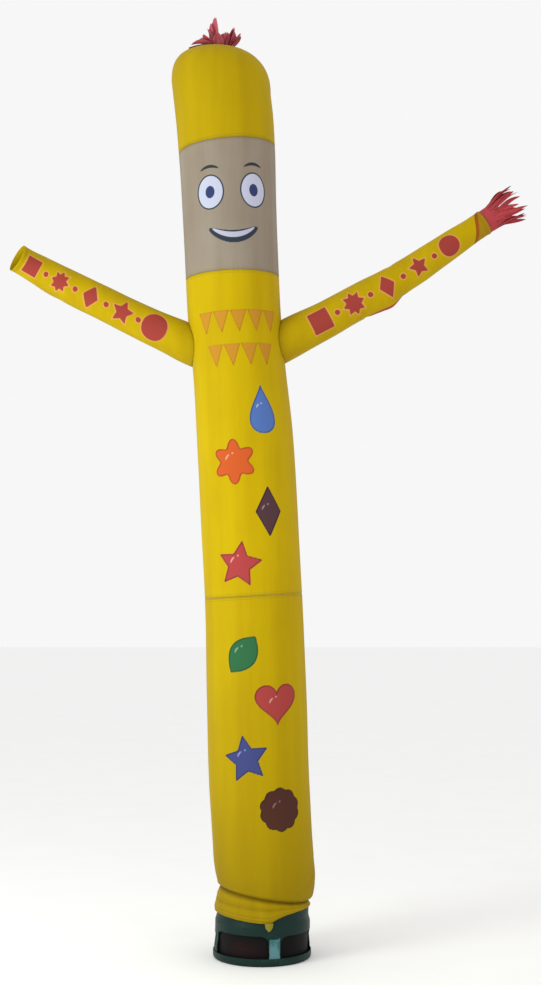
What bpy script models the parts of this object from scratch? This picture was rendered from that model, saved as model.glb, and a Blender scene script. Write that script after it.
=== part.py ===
"""Inflatable air dancer on its blower, in metres, +Z up.

The origin is the centre of the blower's foot, on the ground, and the printed front faces -Y.
The dancer is sewn from four lengths of tube, two sleeves and two fringes. Its open foot is
fitted over the neck of a round steel blower, which stands in a pressed pan.
"""

import math
from collections import namedtuple

import bmesh
import bpy
import numpy as np
from mathutils import Matrix, Vector

# Driving dimensions
CLOTH = 0.002            # thickness that stands for the nylon and its air-filled seams
SEAM_GAP = 0.0004        # space left between two pieces that are sewn together
BODY_SIDES = 36          # facets round the body tube
ARM_SIDES = 20           # facets round a sleeve
RING_STEP = 0.25         # tallest facet in a body tube
ARM_STEP = 0.12          # longest facet in a sleeve

# The body tube. A row for each section: height of its centre, sideways offset of its centre,
# radius, and how far the section's plane rises for each metre to the right.
Section = namedtuple("Section", "height offset radius tilt")
BODY = (
    Section(0.2165, 0.0030, 0.2105, 0.045),  # hem, over the blower's shoulder
    Section(0.2360, 0.0035, 0.2085, -0.02),  # fold in the cuff
    Section(0.2560, 0.0045, 0.2045, -0.10),
    Section(0.2780, 0.0092, 0.1970, -0.17),  # crease where the tube buckles
    Section(0.3000, 0.0145, 0.2100, -0.13),
    Section(0.3460, 0.0152, 0.2195, -0.05),  # belly above the crease
    Section(0.4160, 0.0085, 0.2222, 0.01),
    Section(0.5060, 0.0020, 0.2212, 0.05),
    Section(0.7060, -0.0090, 0.2225, 0.058),
    Section(1.1060, -0.0230, 0.2230, 0.058),
    Section(1.5850, -0.0400, 0.2180, 0.058),  # seam under the chest
    Section(2.0060, -0.0610, 0.2187, 0.058),
    Section(2.3060, -0.0790, 0.2172, 0.058),
    Section(2.6060, -0.1050, 0.2098, 0.058),  # armpits
    Section(2.9060, -0.1290, 0.2115, 0.050),
    Section(3.0240, -0.1350, 0.2122, 0.036),  # chin seam
    Section(3.1560, -0.1410, 0.2125, 0.050),
    Section(3.3960, -0.1520, 0.2152, 0.070),
    Section(3.6175, -0.1620, 0.2200, 0.086),  # forehead seam
    Section(3.7660, -0.1720, 0.2232, 0.030),
    Section(3.9110, -0.1885, 0.2275, -0.130),  # shoulder of the crown
)
HEM_HEIGHT = BODY[0].height
CHEST_SEAM, CHIN_SEAM, FOREHEAD_SEAM = 1.5850, 3.0240, 3.6175
BLUNTNESS = 2.6          # exponent of the crown's superellipse, 2 for a plain ellipse
CROWN_HEIGHT = 0.180     # rise of the crown above its shoulder
CROWN_VENT = 0.040       # radius of the air vent in the crown
CROWN_RINGS = 7
HEM_POINT = 10.0         # degrees round from the front where the hem droops to a point
HEM_DROOP = 0.039        # depth of that point
HEM_FADES = (32.0, 13.0)  # degrees over which the droop dies away to its left and right
FOLD_SHARE = 0.5         # share of the droop that the fold above the hem follows

# The sleeves. A row for each section: centre of the section, its radius, and how far its
# underside hangs slack.
Ring = namedtuple("Ring", "x y z radius slack")
RIGHT_ARM = (
    Ring(0.038, 0.000, 2.709, 0.0925, 0.000),    # inside the body, cut back to its side
    Ring(0.110, 0.000, 2.747, 0.0920, 0.000),
    Ring(0.290, 0.000, 2.840, 0.0840, 0.000),
    Ring(0.436, 0.000, 2.920, 0.0810, 0.001),
    Ring(0.505, 0.000, 2.957, 0.0790, 0.012),
    Ring(0.550, 0.000, 2.981, 0.0775, 0.017),
    Ring(0.590, 0.000, 3.004, 0.0763, 0.003),
    Ring(0.728, 0.000, 3.093, 0.0698, 0.000),
    Ring(0.875, 0.000, 3.195, 0.0624, 0.000),
    Ring(0.985, 0.000, 3.269, 0.0567, 0.000),
    Ring(1.013, 0.000, 3.287, 0.0585, 0.000),
)
LEFT_ARM = (
    Ring(-0.262, 0.000, 2.700, 0.0925, 0.000),
    Ring(-0.330, 0.000, 2.728, 0.0915, 0.000),
    Ring(-0.428, 0.000, 2.772, 0.0847, 0.000),
    Ring(-0.647, 0.000, 2.876, 0.0775, 0.000),
    Ring(-0.866, 0.000, 2.985, 0.0752, 0.000),
    Ring(-0.950, -0.006, 3.027, 0.0728, 0.000),
    Ring(-1.020, -0.024, 3.064, 0.0672, 0.000),
    Ring(-1.085, -0.054, 3.098, 0.0632, 0.000),
    Ring(-1.106, -0.066, 3.109, 0.0645, 0.000),
)
SLACK_SHAPE = 1.5        # how narrowly the slack gathers along a sleeve's underside
ARMHOLE_INSET = 0.006    # armhole radius under the sleeve's
ARMHOLE_DEPTH = 0.18     # length of the cutter that opens an armhole

# The fringes. A row for each strip: where it stands round the heading, how far it leans out,
# how much further it bends over along its length, and its length.
Strip = namedtuple("Strip", "around lean droop length")
HAIR = (
    Strip(22, 38, 6, 0.095),
    Strip(67, 42, 12, 0.088),
    Strip(112, 46, 30, 0.085),
    Strip(157, 24, 12, 0.092),
    Strip(202, 16, 4, 0.108),
    Strip(247, 20, -10, 0.118),
    Strip(292, 100, 22, 0.160),
    Strip(337, 12, -8, 0.122),
)
HAND = (
    Strip(0, 14, 4, 0.145),
    Strip(33, 10, -4, 0.160),
    Strip(65, 5, 4, 0.140),
    Strip(98, 4, -4, 0.150),
    Strip(131, 6, 5, 0.145),
    Strip(164, 12, -6, 0.160),
    Strip(196, 16, 6, 0.135),
    Strip(229, 20, -8, 0.145),
    Strip(262, 24, -12, 0.125),
    Strip(295, 21, -14, 0.150),
    Strip(327, 17, -5, 0.145),
)
HAIR_HEADING = (0.0385, 0.020)   # outer radius and height of the crown fringe's heading
HAND_HEADING = (0.0545, 0.052)   # the same for the hand's
FRINGE_CLOTH = 0.0012
FRINGE_TUCK = 0.011      # how far a heading is tucked into the piece that it is sewn to
SLIT_SHARE = 0.16        # share of the heading's round that the slits take
STRIP_WIDTHS = (1.0, 1.30, 1.45, 1.35, 1.05, 0.60)  # along a strip, over its root's

# The blower
DRUM_WALL = 0.0025
DRUM_SIDES = 48
DRUM = (                 # outside of the drum: radius, height
    (0.2120, 0.0150),    # feet of the posts, inside the pan
    (0.2120, 0.0420),
    (0.2055, 0.0980),    # waist across the windows
    (0.2095, 0.1220),
    (0.2095, 0.1610),    # band
    (0.2020, 0.1860),
    (0.2020, 0.2260),    # shoulder that the hem is drawn over
    (0.1880, 0.2400),
    (0.1880, 0.2680),    # neck
)
DRUM_RADIUS = 0.2095
DRUM_LEAN = 1.0          # degrees that the drum leans to the right in its pan
LEANING = Matrix.Rotation(math.radians(DRUM_LEAN), 4, "Y")
WINDOW_BOTTOM = -0.010   # below the drum, so that only the posts reach its foot
WINDOW_TOP = 0.127
WINDOW_COUNT = 4
WINDOW_CORNER = 0.040
WINDOW_INSIDE, WINDOW_OUTSIDE = 0.8, 1.15  # where a window's cutter starts and ends
POST_WIDTH = 0.046
POST_TURN = 15.0         # degrees that the posts are turned from the front
PAN_RADIUS = 0.2166
PAN_HEIGHT = 0.042
PAN_SHEET = 0.003
PAN_CORNER = 0.012
MOTOR_RADIUS, MOTOR_HEIGHT, MOTOR_EDGE = 0.092, 0.125, 0.012
MOTOR_SHAFT_RADIUS, MOTOR_SHAFT_HEIGHT = 0.016, 0.030
TAB_WIDTH, TAB_LENGTH, TAB_THICKNESS = 0.042, 0.036, 0.0020
TAB_CLEARANCE = 0.0030   # between the tab and the drum's band
TAB_OUTLINE = (          # across, over the tab's width, and down, over its length
    (-0.50, 0.00),
    (0.50, 0.00),
    (0.42, -0.75),
    (0.15, -1.00),
    (-0.20, -0.96),
    (-0.45, -0.70),
)

# Colours, linear
YELLOW = (0.62, 0.50, 0.010)
BEIGE = (0.46, 0.36, 0.24)
RED = (0.56, 0.050, 0.055)
PALE_YELLOW = (0.55, 0.50, 0.12)
TEAL = (0.012, 0.060, 0.058)
BLACK = (0.012, 0.011, 0.012)


def clear_scene():
    for old in list(bpy.data.objects):
        bpy.data.objects.remove(old, do_unlink=True)


def material(name, colour, roughness, metallic=0.0):
    made = bpy.data.materials.new(name)
    made.use_nodes = True
    shader = made.node_tree.nodes["Principled BSDF"]
    shader.inputs["Base Color"].default_value = (*colour, 1.0)
    shader.inputs["Roughness"].default_value = roughness
    shader.inputs["Metallic"].default_value = metallic
    return made


def add_object(name, mesh, finish, smooth_angle=40.0):
    mesh.shade_smooth()
    mesh.set_sharp_from_angle(angle=math.radians(smooth_angle))
    mesh.materials.append(finish)
    made = bpy.data.objects.new(name, mesh)
    bpy.context.scene.collection.objects.link(made)
    return made


def mesh_from_rings(name, rings):
    """A tube's skin: every ring is an array of points, and each joins the next with quads."""
    points = np.concatenate(rings)
    sides = len(rings[0])
    level, side = np.meshgrid(np.arange(len(rings) - 1), np.arange(sides), indexing="ij")
    here, after = level * sides, level * sides + sides
    following = (side + 1) % sides
    quads = np.stack([here + side, here + following, after + following, after + side], -1)
    mesh = bpy.data.meshes.new(name)
    mesh.from_pydata(points.tolist(), [], quads.reshape(-1, 4).tolist())
    return mesh


def thicken(obj, thickness):
    """Gives a skin its thickness inwards, so that the modelled size stays outside."""
    solid = obj.modifiers.new("cloth", "SOLIDIFY")
    solid.thickness = thickness
    solid.offset = -1.0
    return obj


def smooth_rows(rows, key, wanted):
    """Each column of a table at the wanted values of its first, by cubic Hermite curves."""
    table = np.array(rows, float)
    known = np.array(key, float)
    slopes = np.gradient(table, known, axis=0)
    span = np.clip(np.searchsorted(known, wanted, side="right") - 1, 0, len(known) - 2)
    width = (known[span + 1] - known[span])[:, None]
    t = (np.asarray(wanted)[:, None] - known[span][:, None]) / width
    return (
        (2 * t**3 - 3 * t**2 + 1) * table[span]
        + (t**3 - 2 * t**2 + t) * width * slopes[span]
        + (3 * t**2 - 2 * t**3) * table[span + 1]
        + (t**3 - t**2) * width * slopes[span + 1]
    )


def heights_between(bottom, top, step):
    """The table's own heights between two seams, and evenly spaced ones in its long gaps."""
    known = [bottom] + [row.height for row in BODY if bottom < row.height < top] + [top]
    levels = [bottom]
    for low, high in zip(known[:-1], known[1:]):
        count = max(1, math.ceil((high - low) / step))
        levels += [low + (high - low) * (i + 1) / count for i in range(count)]
    return np.array(levels)


def body_ring(section, drop=0.0):
    """A section of the body tube as points, starting at the front and going round to the right."""
    _, offset, radius, tilt = section
    around = 2 * np.pi * np.arange(BODY_SIDES) / BODY_SIDES
    across = radius * np.sin(around)
    return np.stack(
        [offset + across, -radius * np.cos(around), section[0] + tilt * across - drop], -1
    )


def hem_drop():
    """How far the hem hangs lower at each angle: a point near the front that dies away."""
    around = 360.0 * np.arange(BODY_SIDES) / BODY_SIDES
    apart = (around - HEM_POINT + 180.0) % 360.0 - 180.0
    return HEM_DROOP * np.exp(-np.abs(apart) / np.where(apart < 0, *HEM_FADES))


def body_piece(name, bottom, top, finish):
    levels = heights_between(bottom, top, RING_STEP)
    sections = smooth_rows(BODY, [row.height for row in BODY], levels)
    rings = [body_ring(section) for section in sections]
    if bottom == HEM_HEIGHT:
        rings[0] = body_ring(sections[0], hem_drop())
        rings[1] = body_ring(sections[1], FOLD_SHARE * hem_drop())
    return thicken(add_object(name, mesh_from_rings(name, rings), finish), CLOTH)


def head_cap(finish):
    """The crown: the tube's last length, closed by a blunt dome with a vent at its top."""
    shoulder = BODY[-1]
    levels = heights_between(FOREHEAD_SEAM + SEAM_GAP, shoulder.height, RING_STEP)
    sections = list(smooth_rows(BODY, [row.height for row in BODY], levels))
    vent = math.asin((CROWN_VENT / shoulder.radius) ** (BLUNTNESS / 2))
    for i in range(1, CROWN_RINGS + 1):
        turn = math.pi / 2 + (vent - math.pi / 2) * i / CROWN_RINGS
        radius = shoulder.radius * math.sin(turn) ** (2 / BLUNTNESS)
        rise = CROWN_HEIGHT * math.cos(turn) ** (2 / BLUNTNESS)
        tilt = shoulder.tilt * radius / shoulder.radius
        sections.append((shoulder.height + rise, shoulder.offset, radius, tilt))
    rings = [body_ring(section) for section in sections]
    return thicken(add_object("head_cap", mesh_from_rings("head_cap", rings), finish), CLOTH)


def sleeve_rings(rows):
    """Rings square to the sleeve's line, and the line's direction at each."""
    centres = np.array(rows)[:, :3]
    runs = np.linalg.norm(np.diff(centres, axis=0), axis=1)
    along = np.concatenate([[0.0], np.cumsum(runs)])
    steps = [np.linspace(a, b, max(1, math.ceil((b - a) / ARM_STEP)), endpoint=False)
             for a, b in zip(along[:-1], along[1:])]
    wanted = np.append(np.concatenate(steps), along[-1])
    table = smooth_rows(rows, along, wanted)
    lines = np.gradient(table[:, :3], wanted, axis=0)
    lines /= np.linalg.norm(lines, axis=1)[:, None]
    around = 2 * np.pi * np.arange(ARM_SIDES) / ARM_SIDES
    rings = []
    hanging = np.clip(-np.sin(around), 0.0, None) ** SLACK_SHAPE
    for row, line in zip(table, lines):
        front = np.array([0.0, -1.0, 0.0])
        front -= (front @ line) * line
        front /= np.linalg.norm(front)
        up = np.cross(line, front) * (1 if line[0] < 0 else -1)
        radius = (row[3] + row[4] * hanging)[:, None]
        rings.append(row[:3] + radius * (np.outer(np.cos(around), front)
                                         + np.outer(np.sin(around), up)))
    return rings, lines


def sleeve(name, rows, finish):
    """A sleeve, cut back to the body's side with the gap of a seam."""
    rings, _ = sleeve_rings(rows)
    if rows[-1].x > 0:
        rings = [ring[::-1] for ring in rings]
    made = thicken(add_object(name, mesh_from_rings(name, rings), finish), CLOTH)
    levels = heights_between(CHEST_SEAM + SEAM_GAP, CHIN_SEAM, RING_STEP)
    sections = smooth_rows(BODY, [row.height for row in BODY], levels)
    sections[:, 2] += SEAM_GAP
    side = mesh_from_rings("body_side", [body_ring(section) for section in sections])
    shape = bmesh.new()
    shape.from_mesh(side)
    bmesh.ops.holes_fill(shape, edges=[edge for edge in shape.edges if edge.is_boundary])
    bmesh.ops.recalc_face_normals(shape, faces=shape.faces)
    shape.to_mesh(side)
    shape.free()
    cut(made, cutter(name + "_trim", side))
    return made


def cutter(name, mesh):
    made = bpy.data.objects.new(name, mesh)
    bpy.context.scene.collection.objects.link(made)
    made.hide_render = True
    made.display_type = "WIRE"
    return made


def cut(obj, tool):
    """Takes tool away from obj with a Boolean modifier."""
    difference = obj.modifiers.new("cut_" + tool.name, "BOOLEAN")
    difference.operation = "DIFFERENCE"
    difference.object = tool


def armhole(body, name, rows):
    """Opens the body where a sleeve joins it, so that air passes from one to the other."""
    _, lines = sleeve_rings(rows)
    centre = Vector(rows[1][:3])
    mesh = bpy.data.meshes.new(name)
    shape = bmesh.new()
    bmesh.ops.create_cone(shape, cap_ends=True, segments=ARM_SIDES,
                          depth=ARMHOLE_DEPTH,
                          radius1=rows[0].radius - ARMHOLE_INSET,
                          radius2=rows[0].radius - ARMHOLE_INSET)
    turn = Vector(lines[0]).to_track_quat("Z", "Y").to_matrix().to_4x4()
    bmesh.ops.transform(shape, matrix=turn, verts=shape.verts)
    bmesh.ops.translate(shape, vec=centre, verts=shape.verts)
    shape.to_mesh(mesh)
    shape.free()
    cut(body, cutter(name, mesh))


class Heading:
    """The place of a fringe: its root, its line, and the turn round that line."""

    def __init__(self, size, root, line):
        self.radius, self.height = size
        self.root, self.line = Vector(root), Vector(line).normalized()
        self.front = Vector((0.0, -1.0, 0.0))
        self.front = (self.front - self.line * self.front.dot(self.line)).normalized()
        self.side = self.line.cross(self.front)

    def away(self, turn):
        return self.front * math.cos(turn) + self.side * math.sin(turn)

    def place(self, turn, out, up):
        return self.root + self.away(turn) * out + self.line * up


def heading_wall(shape, heading, strips, offsets):
    """The heading's closed wall. Gives back the three points that each strip starts from."""
    foot, crest = [], []
    for strip in strips:
        turns = [math.radians(strip.around) + offset for offset in offsets]
        foot.append([shape.verts.new(heading.place(t, heading.radius, 0.0)) for t in turns])
        crest.append([shape.verts.new(heading.place(t, heading.radius, heading.height))
                      for t in turns])
    for i in range(len(strips)):
        following = (i + 1) % len(strips)
        low = foot[i] + [foot[following][0]]
        high = crest[i] + [crest[following][0]]
        for k in range(3):
            shape.faces.new((low[k], low[k + 1], high[k + 1], high[k]))
    return crest


def fringe_strip(shape, heading, strip, roots, half_width):
    """One free strip, two facets wide. It leaves the heading at its own angle from the line
    and bends on by its droop, in the plane through the line and its place."""
    steps = len(STRIP_WIDTHS) - 1
    turn = math.radians(strip.around)
    across = heading.away(turn + math.pi / 2)
    out, up, lean = heading.radius, heading.height, math.radians(strip.lean) / 2
    last = roots
    for step in range(1, steps + 1):
        out += strip.length / steps * math.sin(lean)
        up += strip.length / steps * math.cos(lean)
        lean = math.radians(strip.lean + strip.droop * step / steps)
        centre = heading.place(turn, out, up)
        wide = half_width * STRIP_WIDTHS[step]
        following = [shape.verts.new(centre + across * wide * k) for k in (-1, 0, 1)]
        for k in range(2):
            shape.faces.new((last[k], last[k + 1], following[k + 1], following[k]))
        last = following


def fringe(name, strips, size, root, line, finish):
    """A comb of cloth rolled into a tube: a closed heading with free strips along its edge."""
    heading = Heading(size, root, line)
    half = math.radians(180.0 / len(strips)) * (1.0 - SLIT_SHARE)
    shape = bmesh.new()
    crest = heading_wall(shape, heading, strips, (-half, 0.0, half))
    for strip, roots in zip(strips, crest):
        fringe_strip(shape, heading, strip, roots, heading.radius * half)
    bmesh.ops.recalc_face_normals(shape, faces=shape.faces)
    shape.faces.ensure_lookup_table()
    first = shape.faces[0]
    if first.normal.dot(first.calc_center_median() - heading.root) < 0:
        bmesh.ops.reverse_faces(shape, faces=shape.faces)
    mesh = bpy.data.meshes.new(name)
    shape.to_mesh(mesh)
    shape.free()
    return thicken(add_object(name, mesh, finish), FRINGE_CLOTH)


def turned(name, profile, sides, finish, smooth_angle=35.0):
    """A closed ring or disc turned round +Z from its profile, a list of (radius, height)."""
    shape = bmesh.new()
    verts = [shape.verts.new((radius, 0.0, height)) for radius, height in profile]
    edges = [shape.edges.new((verts[i], verts[(i + 1) % len(verts)]))
             for i in range(len(verts))
             if profile[i][0] > 0 or profile[(i + 1) % len(profile)][0] > 0]
    bmesh.ops.spin(shape, geom=verts + edges, cent=(0, 0, 0), axis=(0, 0, 1),
                   angle=2 * math.pi, steps=sides, use_merge=True)
    bmesh.ops.remove_doubles(shape, verts=shape.verts, dist=1e-5)
    bmesh.ops.recalc_face_normals(shape, faces=shape.faces)
    mesh = bpy.data.meshes.new(name)
    shape.to_mesh(mesh)
    shape.free()
    return add_object(name, mesh, finish, smooth_angle)


def window_cutter(index):
    """A block with round upper corners that opens one air window through the drum's wall."""
    pitch = 2 * math.pi / WINDOW_COUNT
    half = DRUM_RADIUS * math.sin(pitch / 2) - POST_WIDTH / 2 * math.cos(pitch / 2)
    corner = WINDOW_CORNER
    outline = [(-half, WINDOW_BOTTOM), (half, WINDOW_BOTTOM)]
    for side, first in ((1, 0), (-1, 90)):
        for k in range(4):
            turn = math.radians(first + 30 * k)
            outline.append((side * (half - corner) + corner * math.cos(turn),
                            WINDOW_TOP - corner + corner * math.sin(turn)))
    shape = bmesh.new()
    near = DRUM_RADIUS * math.cos(pitch / 2) * WINDOW_INSIDE
    far = DRUM_RADIUS * WINDOW_OUTSIDE
    inner = [shape.verts.new((x, -near, z)) for x, z in outline]
    outer = [shape.verts.new((x * far / near if abs(x) > half else x, -far, z))
             for x, z in outline]
    shape.faces.new(inner)
    shape.faces.new(outer[::-1])
    for i in range(len(outline)):
        j = (i + 1) % len(outline)
        shape.faces.new((inner[i], outer[i], outer[j], inner[j]))
    bmesh.ops.recalc_face_normals(shape, faces=shape.faces)
    mesh = bpy.data.meshes.new(f"window_{index + 1}")
    shape.to_mesh(mesh)
    shape.free()
    turn = math.radians(POST_TURN) + pitch * (index + 0.5)
    mesh.transform(LEANING @ Matrix.Rotation(turn, 4, "Z"))
    return cutter(f"window_{index + 1}", mesh)


def blower(steel, dark):
    """The round blower: a pressed foot pan, a drum with air windows, and the fan's motor."""
    arc = [math.radians(30 * k) for k in range(4)]
    corner, inside = PAN_CORNER, PAN_CORNER - PAN_SHEET
    centre = (PAN_RADIUS - corner, corner)
    outer = [(centre[0] + corner * math.sin(a), centre[1] - corner * math.cos(a)) for a in arc]
    inner = [(centre[0] + inside * math.sin(a), centre[1] - inside * math.cos(a)) for a in arc]
    rim = [(PAN_RADIUS, PAN_HEIGHT - PAN_SHEET / 2), (PAN_RADIUS - PAN_SHEET / 2, PAN_HEIGHT),
           (PAN_RADIUS - PAN_SHEET, PAN_HEIGHT - PAN_SHEET / 2)]
    turned("foot_pan", [(0.0, 0.0)] + outer + rim + inner[::-1] + [(0.0, PAN_SHEET)],
           DRUM_SIDES, steel)

    inside = [(radius - DRUM_WALL, height) for radius, height in DRUM[::-1]]
    drum = turned("blower_drum", list(DRUM) + inside, DRUM_SIDES, steel)
    drum.data.transform(LEANING)
    for index in range(WINDOW_COUNT):
        cut(drum, window_cutter(index))

    foot = PAN_SHEET + SEAM_GAP
    top = foot + MOTOR_HEIGHT
    turned("fan_motor",
           [(0.0, foot), (MOTOR_RADIUS - MOTOR_EDGE, foot), (MOTOR_RADIUS, foot + MOTOR_EDGE),
            (MOTOR_RADIUS, top - MOTOR_EDGE), (MOTOR_RADIUS - MOTOR_EDGE, top),
            (MOTOR_SHAFT_RADIUS, top), (MOTOR_SHAFT_RADIUS, top + MOTOR_SHAFT_HEIGHT),
            (0.0, top + MOTOR_SHAFT_HEIGHT)],
           DRUM_SIDES // 2, dark)


def strap_tab(finish):
    """The free end of the cuff's strap, a flat tab that hangs below the hem's point."""
    turn = math.radians(HEM_POINT)
    away = Vector((math.sin(turn), -math.cos(turn), 0.0))
    across = Vector((math.cos(turn), math.sin(turn), 0.0))
    top = HEM_HEIGHT - HEM_DROOP - SEAM_GAP
    near = DRUM_RADIUS + TAB_CLEARANCE
    shape = bmesh.new()
    back = [shape.verts.new(away * near + across * TAB_WIDTH * x
                            + Vector((0, 0, top + TAB_LENGTH * z))) for x, z in TAB_OUTLINE]
    face = shape.faces.new(back)
    pulled = bmesh.ops.extrude_face_region(shape, geom=[face])
    moved = [v for v in pulled["geom"] if isinstance(v, bmesh.types.BMVert)]
    bmesh.ops.translate(shape, vec=away * TAB_THICKNESS, verts=moved)
    bmesh.ops.recalc_face_normals(shape, faces=shape.faces)
    mesh = bpy.data.meshes.new("strap_tab")
    shape.to_mesh(mesh)
    shape.free()
    return add_object("strap_tab", mesh, finish)


def main():
    clear_scene()
    nylon = material("yellow_nylon", YELLOW, 0.55)
    beige = material("beige_nylon", BEIGE, 0.6)
    red = material("red_nylon", RED, 0.6)
    webbing = material("pale_webbing", PALE_YELLOW, 0.7)
    steel = material("teal_painted_steel", TEAL, 0.35)
    dark = material("motor_black", BLACK, 0.5)

    body_piece("lower_body", HEM_HEIGHT, CHEST_SEAM, nylon)
    chest = body_piece("upper_body", CHEST_SEAM + SEAM_GAP, CHIN_SEAM, nylon)
    body_piece("face_band", CHIN_SEAM + SEAM_GAP, FOREHEAD_SEAM, beige)
    head_cap(nylon)
    armhole(chest, "right_armhole", RIGHT_ARM)
    armhole(chest, "left_armhole", LEFT_ARM)
    sleeve("right_arm", RIGHT_ARM, nylon)
    sleeve("left_arm", LEFT_ARM, nylon)

    shoulder = BODY[-1]
    crown = (shoulder.offset, 0.0, shoulder.height + CROWN_HEIGHT - FRINGE_TUCK)
    fringe("hair_fringe", HAIR, HAIR_HEADING, crown, (0, 0, 1), red)
    _, lines = sleeve_rings(RIGHT_ARM)
    wrist = Vector(RIGHT_ARM[-1][:3]) - Vector(lines[-1]) * FRINGE_TUCK
    fringe("hand_fringe", HAND, HAND_HEADING, wrist, lines[-1], red)

    blower(steel, dark)
    strap_tab(webbing)


main()
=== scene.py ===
"""Looks of an inflatable air dancer that stands on its blower.

Everything is in metres, +Z up, and the printed front faces -Y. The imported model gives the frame,
and each cloth piece is a surface worked out on a grid of two parameters.
"""

# %% [markdown]
# The imported model is the frame. It is loaded first. Nothing that is added here may make the
# object larger.

# %% Load the frame
import math
from collections import namedtuple

import bmesh
import bpy
import numpy as np
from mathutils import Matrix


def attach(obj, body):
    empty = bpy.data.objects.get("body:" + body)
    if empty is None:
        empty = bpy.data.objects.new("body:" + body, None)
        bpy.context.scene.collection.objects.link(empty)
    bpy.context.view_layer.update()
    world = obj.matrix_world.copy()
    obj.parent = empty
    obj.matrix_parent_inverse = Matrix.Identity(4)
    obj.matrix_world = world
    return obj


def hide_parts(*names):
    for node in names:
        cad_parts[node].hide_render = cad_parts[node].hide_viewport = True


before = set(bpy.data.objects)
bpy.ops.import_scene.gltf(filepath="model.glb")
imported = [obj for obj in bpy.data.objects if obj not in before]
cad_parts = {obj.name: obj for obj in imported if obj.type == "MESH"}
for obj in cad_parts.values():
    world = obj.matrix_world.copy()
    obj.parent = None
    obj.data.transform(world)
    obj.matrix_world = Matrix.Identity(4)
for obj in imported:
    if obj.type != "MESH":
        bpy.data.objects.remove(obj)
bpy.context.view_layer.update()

# %% [markdown]
# The camera stands where a person stands who looks at the dancer: eye at 1.6 m, nearly 7 m away,
# looking up a little. Colours are shown with the Standard view, which keeps a saturated yellow
# as strong as dyed nylon is.

# %% Camera
EYE_HEIGHT = 1.585
EYE_AWAY = 6.75
EYE_ASIDE = 0.0375
LOOK_UP = 3.95

camera_data = bpy.data.cameras.new("eye")
camera_data.lens = 54.8
camera = bpy.data.objects.new("eye", camera_data)
camera.location = (EYE_ASIDE, -EYE_AWAY, EYE_HEIGHT)
camera.rotation_euler = (math.radians(90.0 + LOOK_UP), 0.0, 0.0)
bpy.context.scene.collection.objects.link(camera)
bpy.context.scene.camera = camera
bpy.context.scene.view_settings.view_transform = "Standard"
print("camera:", EYE_AWAY, "m away at", EYE_HEIGHT, "m")

# %% [markdown]
# A tube of cloth that air holds up is round everywhere, but its radius and its centre line wander.
# A short table of sections says how, and a smooth curve through the table gives every height in
# between. Lofting from such a table is easier to correct than pushing vertices about.

# %% Sections of the body tube
Section = namedtuple("Section", "height offset radius tilt")
BODY = np.array((
    Section(0.2165, 0.0030, 0.2105, 0.045),  # hem, over the blower's shoulder
    Section(0.2360, 0.0035, 0.2085, -0.02),
    Section(0.2560, 0.0045, 0.2045, -0.10),
    Section(0.2780, 0.0092, 0.1970, -0.17),  # crease where the tube buckles
    Section(0.3000, 0.0145, 0.2100, -0.13),
    Section(0.3460, 0.0152, 0.2195, -0.05),  # belly above the crease
    Section(0.4160, 0.0085, 0.2222, 0.01),
    Section(0.5060, 0.0020, 0.2212, 0.05),
    Section(0.7060, -0.0090, 0.2225, 0.058),
    Section(1.1060, -0.0230, 0.2230, 0.058),
    Section(1.5850, -0.0400, 0.2180, 0.058),  # chest seam
    Section(2.0060, -0.0610, 0.2187, 0.058),
    Section(2.3060, -0.0790, 0.2172, 0.058),
    Section(2.6060, -0.1050, 0.2098, 0.058),  # armpits
    Section(2.9060, -0.1290, 0.2115, 0.050),
    Section(3.0240, -0.1350, 0.2122, 0.036),  # chin seam
    Section(3.1560, -0.1410, 0.2125, 0.050),
    Section(3.3960, -0.1520, 0.2152, 0.070),
    Section(3.6175, -0.1620, 0.2200, 0.086),  # forehead seam
    Section(3.7660, -0.1720, 0.2232, 0.030),
    Section(3.9110, -0.1885, 0.2275, -0.130),  # shoulder of the crown
))
HEM, CHEST_SEAM, CHIN_SEAM, FOREHEAD_SEAM, SHOULDER = 0.2165, 1.5850, 3.0240, 3.6175, 3.9110
SEAM_GAP = 0.0004
CLOTH = 0.0012


def smooth_rows(table, known, wanted):
    """Each column of a table at the wanted values of its first: cubic Hermite curves, whose slope
    at a row is the slope between its neighbours."""
    slopes = np.gradient(table, known, axis=0)
    span = np.clip(np.searchsorted(known, wanted, side="right") - 1, 0, len(known) - 2)
    width = (known[span + 1] - known[span])[:, None]
    t = (wanted[:, None] - known[span][:, None]) / width
    return ((2 * t**3 - 3 * t**2 + 1) * table[span] + (t**3 - 2 * t**2 + t) * width * slopes[span]
            + (3 * t**2 - 2 * t**3) * table[span + 1] + (t**3 - t**2) * width * slopes[span + 1])


def bump(x, middle, width):
    """A bell curve of height 1: e to the power of minus the square of (x - middle) / width."""
    return np.exp(-(((x - middle) / width) ** 2))


print("tube:", len(BODY), "sections from", HEM, "to", SHOULDER)

# %% [markdown]
# One small function turns any grid of points into a mesh. A tube's grid closes on itself, so its
# last column joins its first and no seam is left open. The UV map is in metres, across and along
# the cloth, so that a weave keeps its real size on every piece.

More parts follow.
